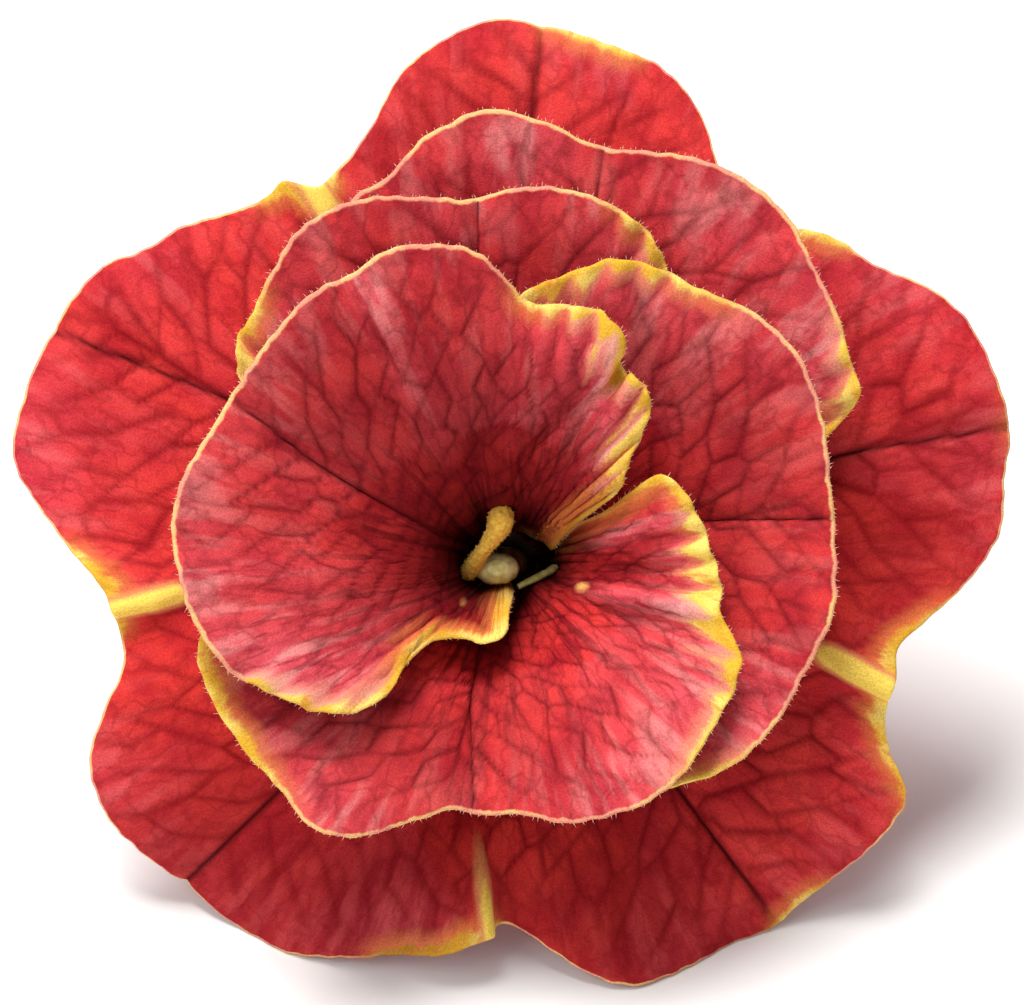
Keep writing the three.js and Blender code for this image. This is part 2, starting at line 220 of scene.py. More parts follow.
def line_pieces(rows):
    """Pieces for draw_lines along a smooth line through rows of [degrees, radius]."""
    rows = np.asarray(rows, float)
    line = smooth_line(polar(np.radians(rows[:, 0]), rows[:, 1], 0 * rows[:, 1]))[::4]
    return np.hstack([line[:-1, :2], line[1:, :2], np.ones((len(line) - 1, 2))])


print("a sample network has", len(vein_segments(0, 12, (1, 1), 0.12, 0.26)), "pieces of vein")

# %% [markdown]
# ## From a grid of points to a petal
#
# A petal is a thin sheet. Its middle surface is a grid of points; the two faces stand off it along its
# normals, and a rounded rim joins them. Everything that the finish needs to know is kept on the points
# in millimetres: the distance to the free edge, the vein network, the midrib, the width of the yellow
# margin. The finish can then be drawn at any sharpness without a picture.

# %% Build sheets
HALF_THICK = 0.13  # mm, half a petal's thickness
RIM_HALF = 0.07  # mm, the same at its free edge


def normals_of(grid, closed):
    """Unit normals of a grid (columns, rows, 3)."""
    if closed:
        around = np.roll(grid, -1, 0) - np.roll(grid, 1, 0)
    else:
        around = np.gradient(grid, axis=0)
    n = np.cross(np.gradient(grid, axis=1), around)
    return n / np.maximum(np.linalg.norm(n, axis=-1, keepdims=True), 1e-12)


def runs_left(grid, closed):
    """Whether the columns run counter-clockwise, seen looking into the flower."""
    return normals_of(grid, closed)[:, -1, 2].mean() > 0


def facing_out(grid, closed):
    """Normals that point out of the flower's face at the free edge."""
    n = normals_of(grid, closed)
    return n if runs_left(grid, closed) else -n


def distance_to(points, line):
    """Distance from each point to the nearest point of a line, and which one that is."""
    flat = points.reshape(-1, 3)
    nearest = np.empty(len(flat), int)
    gap = np.empty(len(flat))
    for a in range(0, len(flat), 4000):
        d = ((flat[a:a + 4000, None] - line[None]) ** 2).sum(-1)
        nearest[a:a + 4000] = d.argmin(1)
        gap[a:a + 4000] = np.sqrt(d.min(1))
    return gap.reshape(points.shape[:-1]), nearest.reshape(points.shape[:-1])


def remaining(grid):
    """Distance along each column from a point to the free edge."""
    steps = np.linalg.norm(np.diff(grid, axis=1), axis=-1)
    return np.concatenate([np.cumsum(steps[:, ::-1], 1)[:, ::-1], np.zeros((len(grid), 1))], 1)


def build_piece(name, points, faces, fields=None, uv=None):
    """A smooth mesh object from points in the flower's frame, with its fields as attributes."""
    mesh = bpy.data.meshes.new(name)
    mesh.from_pydata(lay_down(points).tolist(), [], faces)
    mesh.shade_smooth()
    for field, values in (fields or {}).items():
        values = np.asarray(values, np.float32)
        kind, slot = ("FLOAT_VECTOR", "vector") if values.ndim == 2 else ("FLOAT", "value")
        mesh.attributes.new(field, kind, "POINT").data.foreach_set(slot, values.ravel())
    if uv is not None:
        mesh.uv_layers.new(name="OFBake").data.foreach_set("uv", np.asarray(uv, np.float32).ravel())
    piece = bpy.data.objects.new(name, mesh)
    bpy.context.scene.collection.objects.link(piece)
    return piece


def cones(starts, directions, lengths, thick):
    """Fine pointed hairs: points (4 each) and faces, three sides and a foot."""
    d = directions / np.linalg.norm(directions, axis=1, keepdims=True)
    other = np.where(np.abs(d[:, :1]) > 0.8, [[0, 1, 0]], [[1, 0, 0]])
    a = np.cross(d, other)
    a /= np.linalg.norm(a, axis=1, keepdims=True)
    b = np.cross(d, a)
    ring = [starts + thick * (math.cos(q) * a + math.sin(q) * b) for q in (0, 2.094, 4.189)]
    points = np.stack([*ring, starts + d * np.asarray(lengths)[:, None]], 1).reshape(-1, 3)
    faces = []
    for k in range(0, len(points), 4):
        faces += [[k, k + 1, k + 3], [k + 1, k + 2, k + 3], [k + 2, k, k + 3], [k + 2, k + 1, k]]
    return points, faces


def sheet(name, grid, fields, closed=False, half=HALF_THICK, hairs=None, back_step=1):
    """A sheet with a rounded free edge around a grid, hairs and all, as one piece.

    back_step thins out the rows of the back, which a sheet without side walls can do."""
    columns, rows = grid.shape[:2]
    back = np.arange(rows - 1, -1, -back_step)
    if back[-1] != 0:
        back = np.append(back, 0)
    n = facing_out(grid, closed)
    taper = RIM_HALF + (half - RIM_HALF) * np.clip(remaining(grid) / 1.5, 0, 1)[..., None]
    outward = grid[:, -1] - grid[:, -2]
    outward /= np.linalg.norm(outward, axis=-1, keepdims=True)
    rim = grid[:, -1] + outward * RIM_HALF
    # One ring of points across the sheet: up the face, over the rim, down the back.
    across = np.concatenate([grid + n * taper, rim[:, None], (grid - n * taper)[:, back]], 1)
    ring = across.shape[1]
    points = across.reshape(-1, 3)
    order = np.concatenate([np.arange(rows), [rows - 1], back])
    kept = {}
    for field, values in fields.items():
        kept[field] = values[:, order].reshape(columns * ring, *values.shape[2:])
    under = np.concatenate([np.zeros(rows + 1), np.ones(len(back))])
    kept["underside"] = np.tile(under, columns)
    strips = columns if closed else columns - 1
    i, k = np.meshgrid(np.arange(strips), np.arange(ring), indexing="ij")
    i, k = i.ravel(), k.ravel()
    i2, k2 = (i + 1) % columns, (k + 1) % ring
    quads = np.stack([i * ring + k, i2 * ring + k, i2 * ring + k2, i * ring + k2], -1)
    u = np.stack([i, i + 1, i + 1, i], -1) / strips * 0.95 + 0.025
    v = np.stack([k, k, k + 1, k + 1], -1) / ring * 0.95 + 0.005
    faces, uv = quads.tolist(), np.stack([u, v], -1).reshape(-1, 2)
    if not closed:
        for column, left in ((0, True), (columns - 1, False)):
            k = np.arange(rows - 1)
            face = column * ring + np.stack([k, k + 1, ring - 2 - k, ring - 1 - k], -1)
            faces += (face if left else face[:, ::-1]).tolist()
            side = 0.002 if left else 0.982
            wide = np.array([side, side, side + 0.015, side + 0.015])
            tall = np.stack([k, k + 1, k + 1, k], -1) / rows * 0.95 + 0.005
            wall = np.stack([np.broadcast_to(wide, tall.shape), tall], -1)
            uv = np.vstack([uv, (wall if left else wall[:, ::-1]).reshape(-1, 2)])
            middle = column * ring + np.array([rows - 1, rows, rows + 1])
            faces.append((middle if left else middle[::-1]).tolist())
            uv = np.vstack([uv, [[side, 0.96], [side + 0.015, 0.96], [side, 0.97]]])
    if runs_left(grid, closed):
        faces = [f[::-1] for f in faces]
        uv = flip_corners(uv, faces)
    if hairs is not None:
        tips, hair_faces = hairs
        count = len(hair_faces)
        faces += (np.array(hair_faces) + len(points)).tolist()
        cell = np.arange(count) / count * 0.94 + 0.03
        tiny = 0.8 * 0.94 / count
        corner = np.stack([np.stack([cell, cell + tiny, cell], -1), [[0.972, 0.972, 0.99]] * count], -1)
        uv = np.vstack([uv, corner.reshape(-1, 2)])
        points = np.vstack([points, tips])
        for field, values in kept.items():
            kept[field] = np.concatenate([values, np.zeros((len(tips), *values.shape[1:]))])
        kept["hair"] = np.concatenate([np.zeros(len(points) - len(tips)), np.ones(len(tips))])
    else:
        kept["hair"] = np.zeros(len(points))
    kept["place"] = points
    return build_piece(name, points, faces, kept, uv)


def flip_corners(uv, faces):
    """UV rows in the corner order of faces that were turned over."""
    sizes = [len(f) for f in faces]
    starts = np.concatenate([[0], np.cumsum(sizes)[:-1]])
    order = np.concatenate([np.arange(s, s + c)[::-1] for s, c in zip(starts, sizes)])
    return uv[order]


# %% [markdown]
# ## The outer corolla
#
# Five lobes are fused into one funnel with a short tube. Between two lobes the funnel is pleated, and the
# pleats and the edge beside them are yellow. The lobes differ in size, and each has a sharp dark midrib.
# It is one continuous sheet that closes on itself, so its grid runs all the way round.

# %% The outer corolla's lines
# Free edge: [degrees, radius, lift, width of the yellow margin, blush], clockwise from the top lobe.
OUTER_RIM = [
    [91, 20.9, 0.1, 0.05, 0.2], [84, 20.6, 0.0, 0.2, 0.3], [77, 20.2, -0.1, 0.25, 0.4],
    [72, 19.9, -0.2, 0.05, 0.2], [66.5, 18.8, -0.3, 0.05, 0.2], [61, 17.0, -0.1, 0.1, 0.2],
    [55, 15.6, 0.3, 0.5, 0.2], [50, 16.8, 0.1, 0.4, 0.3], [45, 17.7, 0.2, 0.3, 0.4],
    [39, 18.2, 0.2, 0.05, 0.5], [33, 19.4, 0.0, 0.05, 0.5], [28, 20.0, -0.1, 0.05, 0.3],
    [21, 20.1, 0.1, 0.1, 0.3], [15, 20.0, 0.1, 0.15, 0.4], [10, 19.4, 0.0, 0.1, 0.4],
    [4, 19.0, 0.1, 0.05, 0.2], [-2, 17.7, 0.3, 0.1, 0.1], [-8, 16.1, 0.5, 0.25, 0.1],
    [-12, 15.3, 0.8, 0.45, 0.1], [-17, 15.6, 0.9, 0.6, 0.1], [-20, 15.5, 0.2, 0.6, 0.3],
    [-25, 16.1, 0.0, 0.35, 0.3], [-30, 17.7, -0.2, 0.2, 0.3], [-35, 17.8, -0.7, 0.1, 0.3],
    [-42, 17.5, -1.4, 0.1, 0.3], [-50, 17.3, -2.0, 0.3, 0.3], [-53, 17.5, -2.1, 0.2, 0.2],
    [-58, 17.0, -2.0, 0.05, 0.2], [-65, 16.9, -1.0, 0.05, 0.3], [-73, 16.8, 0.0, 0.05, 0.2],
    [-79, 15.8, 0.0, 0.05, 0.1], [-84, 14.6, -0.1, 0.05, 0.1], [-90, 13.7, -0.3, 0.1, 0.1],
    [-93.5, 14.4, 0.8, 0.5, 0.2], [-98, 15.0, 0.8, 0.5, 0.4], [-105, 15.4, 0.2, 0.3, 0.4],
    [-112, 16.2, -0.6, 0.1, 0.3], [-119, 17.0, -1.4, 0.05, 0.2], [-127, 17.3, -2.4, 0.05, 0.2],
    [-136, 17.5, -2.4, 0.05, 0.2], [-143, 17.9, -1.6, 0.05, 0.2], [-149, 18.0, -0.8, 0.05, 0.4],
    [-155, 17.5, -0.3, 0.05, 0.4], [-160, 16.3, 0.1, 0.05, 0.2], [-165, 15.1, 0.1, 0.05, 0.1],
    [-170, 14.9, 0.0, 0.2, 0.1], [-174, 15.1, 0.4, 0.5, 0.2], [-178, 15.6, 0.9, 0.5, 0.2],
    [-182, 16.6, 0.4, 0.2, 0.3], [-187, 17.9, 0.1, 0.05, 0.5], [-192, 19.2, 0.0, 0.05, 0.6],
    [-199, 19.5, 0.0, 0.05, 0.5], [-206, 19.5, 0.1, 0.05, 0.3], [-212, 19.4, 0.2, 0.05, 0.2],
    [-217, 19.1, 0.1, 0.05, 0.3], [-221, 18.3, 0.2, 0.05, 0.4], [-226, 17.9, 0.1, 0.05, 0.3],
    [-231, 17.2, 0.2, 0.05, 0.2], [-237, 16.7, 0.5, 0.25, 0.2], [-240, 16.9, 0.9, 0.7, 0.2],
    [-243, 16.1, 0.5, 0.6, 0.2], [-248, 16.5, 0.1, 0.08, 0.2], [-253, 17.5, 0.0, 0.05, 0.2],
    [-258, 19.2, 0.0, 0.05, 0.2], [-263, 20.2, 0.0, 0.05, 0.2],
]
TUBE_WALL = [[1.35, 0, -14.2], [1.75, 0, -12.6], [2.6, 0, -10.6], [3.7, 0, -8.4], [4.55, 0, -6.9]]
OUTER_LAYER = (4.2, 0.0, 0.02)  # core, level, slope
LIMB_FROM = 5.05
RECURVE_FROM, RECURVE = 12, 0.016
EDGE_LIFT_POWER = 3  # the lift of an edge is felt mostly near the edge
# Midribs: [[degrees, radius], ...] from the throat out. reach is how far the lobe spreads on each side.
LOBES = [
    {"midrib": [[87.5, 5], [86.8, 12], [86.3, 20.8]], "rim": 20.5, "reach": (0.56, 0.56)},
    {"midrib": [[147, 5], [148.8, 11.4], [152.6, 19.6]], "rim": 19.4, "reach": (0.62, 0.6)},
    {"midrib": [[226, 5], [225.2, 12], [225, 17.6]], "rim": 17.8, "reach": (0.74, 0.7)},
    {"midrib": [[308, 5], [307.6, 12], [307, 17.6]], "rim": 17.6, "reach": (0.64, 0.72)},
    {"midrib": [[20, 5], [18.2, 13], [15.3, 20.1]], "rim": 19.8, "reach": (0.66, 0.6)},
]
# Where the lobes are painted darker, as painted shade, strongest on the lower lobes: [degrees, radius,
# spread, amount].
PAINTED_SHADE_ON_LOBES = [
    [101, 16.5, 3.2, 0.55], [232, 16.0, 3.6, 0.75], [250, 14.0, 3.8, 0.95], [290, 14.5, 4.2, 0.75],
    [318, 14.5, 3.0, 0.05], [3, 15.5, 3.4, 0.7], [14, 18.0, 2.6, 0.45], [215, 15.0, 3.6, 0.4],
    [160, 17.0, 3.6, 0.2],
]
# Pleats: start and end as degrees and radius, half width, height, step (1: one side stays up).
PLEATS = [
    [116.0, 13.6, 117.6, 17.2, 0.5, 0.5, 0],
    [184.4, 11.8, 186.1, 15.4, 0.4, 0.6, 0],
    [263.4, 9.9, 267.6, 14.9, 0.26, 0.4, 1],
    [345.0, 12.0, 342.4, 16.0, 0.4, 0.6, 0],
    [55.5, 12.0, 55.5, 16.0, 0.34, 0.4, 0],
]

# %% [markdown]
# The sheet gets its relief from the same lines that colour it. Veins are sunk a few hundredths of a
# millimetre so that the cells between them stand up like quilting, the midrib is a sharp crease in a
# shallow valley, and slow waves keep the sheet from looking machined.

# %% Relief
VEIN_DEPTH, CREASE_DEPTH, VALLEY_DEPTH = 0.06, 0.14, 0.16
WAVE_HEIGHT = 0.11
STREAK_SQUEEZE = 0.2  # streaks of pigment are five times as long as they are wide


def slow_waves(angle, radius, seed):
    """Soft irregular undulation, about one wave each 3 mm."""
    r = np.random.default_rng(seed)
    wave = 0
    for k in range(5):
        around, outward = r.integers(4, 14), r.uniform(0.5, 1.6)
        wave = wave + np.sin(around * angle + outward * radius + r.uniform(0, 6.3))
    return wave / 5


def soft_patches(x, y, rows):
    """Strength of soft round patches, rows of [degrees, radius, spread, amount]."""
    strength = np.zeros_like(x)
    for degrees, radius, spread, amount in rows:
        cx, cy = radius * math.cos(math.radians(degrees)), radius * math.sin(math.radians(degrees))
        patch = amount * np.exp(-((x - cx) ** 2 + (y - cy) ** 2) / spread ** 2)
        strength = 1 - (1 - strength) * (1 - patch)
    return strength


def flow_of(around, reach, girth):
    """Texture coordinates in mm that wrap round the flower without a seam, squeezed along the radius."""
    return np.stack([girth * np.cos(around), girth * np.sin(around), STREAK_SQUEEZE * reach], -1)


def ragged(line, height, seed):
    """A free edge with fine irregular scallops, up to height mm, away from the middle."""
    r = np.random.default_rng(seed)
    s = along(line)
    bumps = sum(np.sin(s * r.uniform(1.5, 9.0) + r.uniform(0, 6.3)) / 6 for _ in range(9))
    out = line[:, :2] / np.linalg.norm(line[:, :2], axis=1, keepdims=True)
    closed_fade = np.minimum(1, np.minimum(s, s[-1] - s) / 2)
    line = line.copy()
    line[:, :2] += out * (height * bumps * closed_fade)[:, None]
    return line


def relief(grid, vein, crease, valley, wave, extra=0, closed=False):
    """The grid pushed along its normals by its veins, midribs and waves."""
    free = np.clip(remaining(grid) / 1.0, 0.25, 1)
    push = -VEIN_DEPTH * vein * free - CREASE_DEPTH * crease - VALLEY_DEPTH * valley + WAVE_HEIGHT * wave
    return grid + facing_out(grid, closed) * (push + extra)[..., None]


# %% Build the outer corolla
OUTER_COLUMNS, TUBE_ROWS, LIMB_ROWS, BACK_STEP = 560, 14, 112, 3
OUTER_LANE, OUTER_CELL, OUTER_VEINS_FROM = 0.088, 0.105, 4.0  # radians, share of the radius, mm

rim_line = ragged(edge_line(OUTER_RIM, closed=True), 0.05, 3)
rim = resample(rim_line, np.arange(OUTER_COLUMNS) / OUTER_COLUMNS)
angle = np.arctan2(rim[:, 1], rim[:, 0])
rim_radius = np.hypot(rim[:, 0], rim[:, 1])
t = np.linspace(0, 1, PATH_STEPS)
radius = LIMB_FROM + (rim_radius[:, None] - LIMB_FROM) * t
height = layer_height(*OUTER_LAYER, radius) - RECURVE * np.maximum(0, radius - RECURVE_FROM) ** 2
height = height + rim[:, 2:3] * t ** EDGE_LIFT_POWER
limb = rows_along(polar(angle[:, None], radius, height), LIMB_ROWS, 1.0)
wall_line = smooth_line(TUBE_WALL + [[LIMB_FROM, 0, layer_height(*OUTER_LAYER, LIMB_FROM)]])
wall = resample(wall_line, np.arange(TUBE_ROWS) / TUBE_ROWS)
tube = polar(angle[:, None], wall[:, 0], wall[:, 2])
outer = np.concatenate([tube, limb], 1)

x, y = outer[..., 0], outer[..., 1]
reach = np.hypot(x, y)
around = np.arctan2(y, x)
vein_width = 0.064 + 0.0066 * reach
network = [
    vein_segments(math.radians(lobe["midrib"][1][0]), lobe["rim"], lobe["reach"], OUTER_LANE, OUTER_CELL,
                  OUTER_VEINS_FROM)
    for lobe in LOBES
]
vein = draw_lines(x, y, np.vstack(network), vein_width)
ribs = np.vstack([line_pieces(lobe["midrib"]) for lobe in LOBES])
crease = draw_lines(x, y, ribs, 0.13)
valley = draw_lines(x, y, ribs, 0.75)
print("outer corolla:", sum(map(len, network)), "pieces of vein over", outer.shape[:2], "points")

# %% [markdown]
# A pleat is where the sheet was folded in the bud: a narrow ridge that runs in from the notch. At the
# lowest notch one lobe lies over the next, so there the ridge drops off on one side only.

# %% Pleats between the lobes
pleat = np.zeros_like(x)
ridge = np.zeros_like(x)
for a0, r0, a1, r1, half_width, rise, step in PLEATS:
    p0, p1 = polar(np.radians([a0, a1]), np.array([r0, r1]), 0)[:, :2]
    run = p1 - p0
    length = np.linalg.norm(run)
    share = ((x - p0[0]) * run[0] + (y - p0[1]) * run[1]) / length ** 2
    beside = ((y - p0[1]) * run[0] - (x - p0[0]) * run[1]) / length
    fade = np.clip(share * 2.2, 0, 1) * np.clip((1.35 - share) * 4, 0, 1)
    shape = np.exp(-((beside / half_width) ** 2))
    come_in = np.clip(share * (1.1 if step else 3) + (0.1 if step else 0.3), 0, 1)
    pleat = np.maximum(pleat, shape * come_in * (share > -0.1) * (share < 1.3))
    if step:
        shape = np.where(beside < 0, np.exp(beside / 2.2), np.exp(-((beside / 0.15) ** 2)))
    ridge += rise * fade * shape

outer = relief(outer, vein, crease, valley, slow_waves(around, reach, 5), ridge, closed=True)
from_edge = np.minimum(remaining(outer), distance_to(outer, outer[:, -1])[0])
nearest = distance_to(outer, outer[:, -1])[1]
fields = {
    "vein": vein, "crease": crease, "pleat": pleat, "reach": reach, "from_edge": from_edge,
    # deep: the painted shade of the patches on the lobes.
    "yellow": rim[nearest, 3], "blush": rim[nearest, 4], "deep": soft_patches(x, y, PAINTED_SHADE_ON_LOBES),
    "flow": flow_of(around, reach, 14),
}
outer_corolla = sheet("corolla_of_fused_lobes", outer, fields, closed=True, back_step=BACK_STEP)
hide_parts("outer_corolla")
print("outer corolla:", len(outer_corolla.data.polygons), "faces")
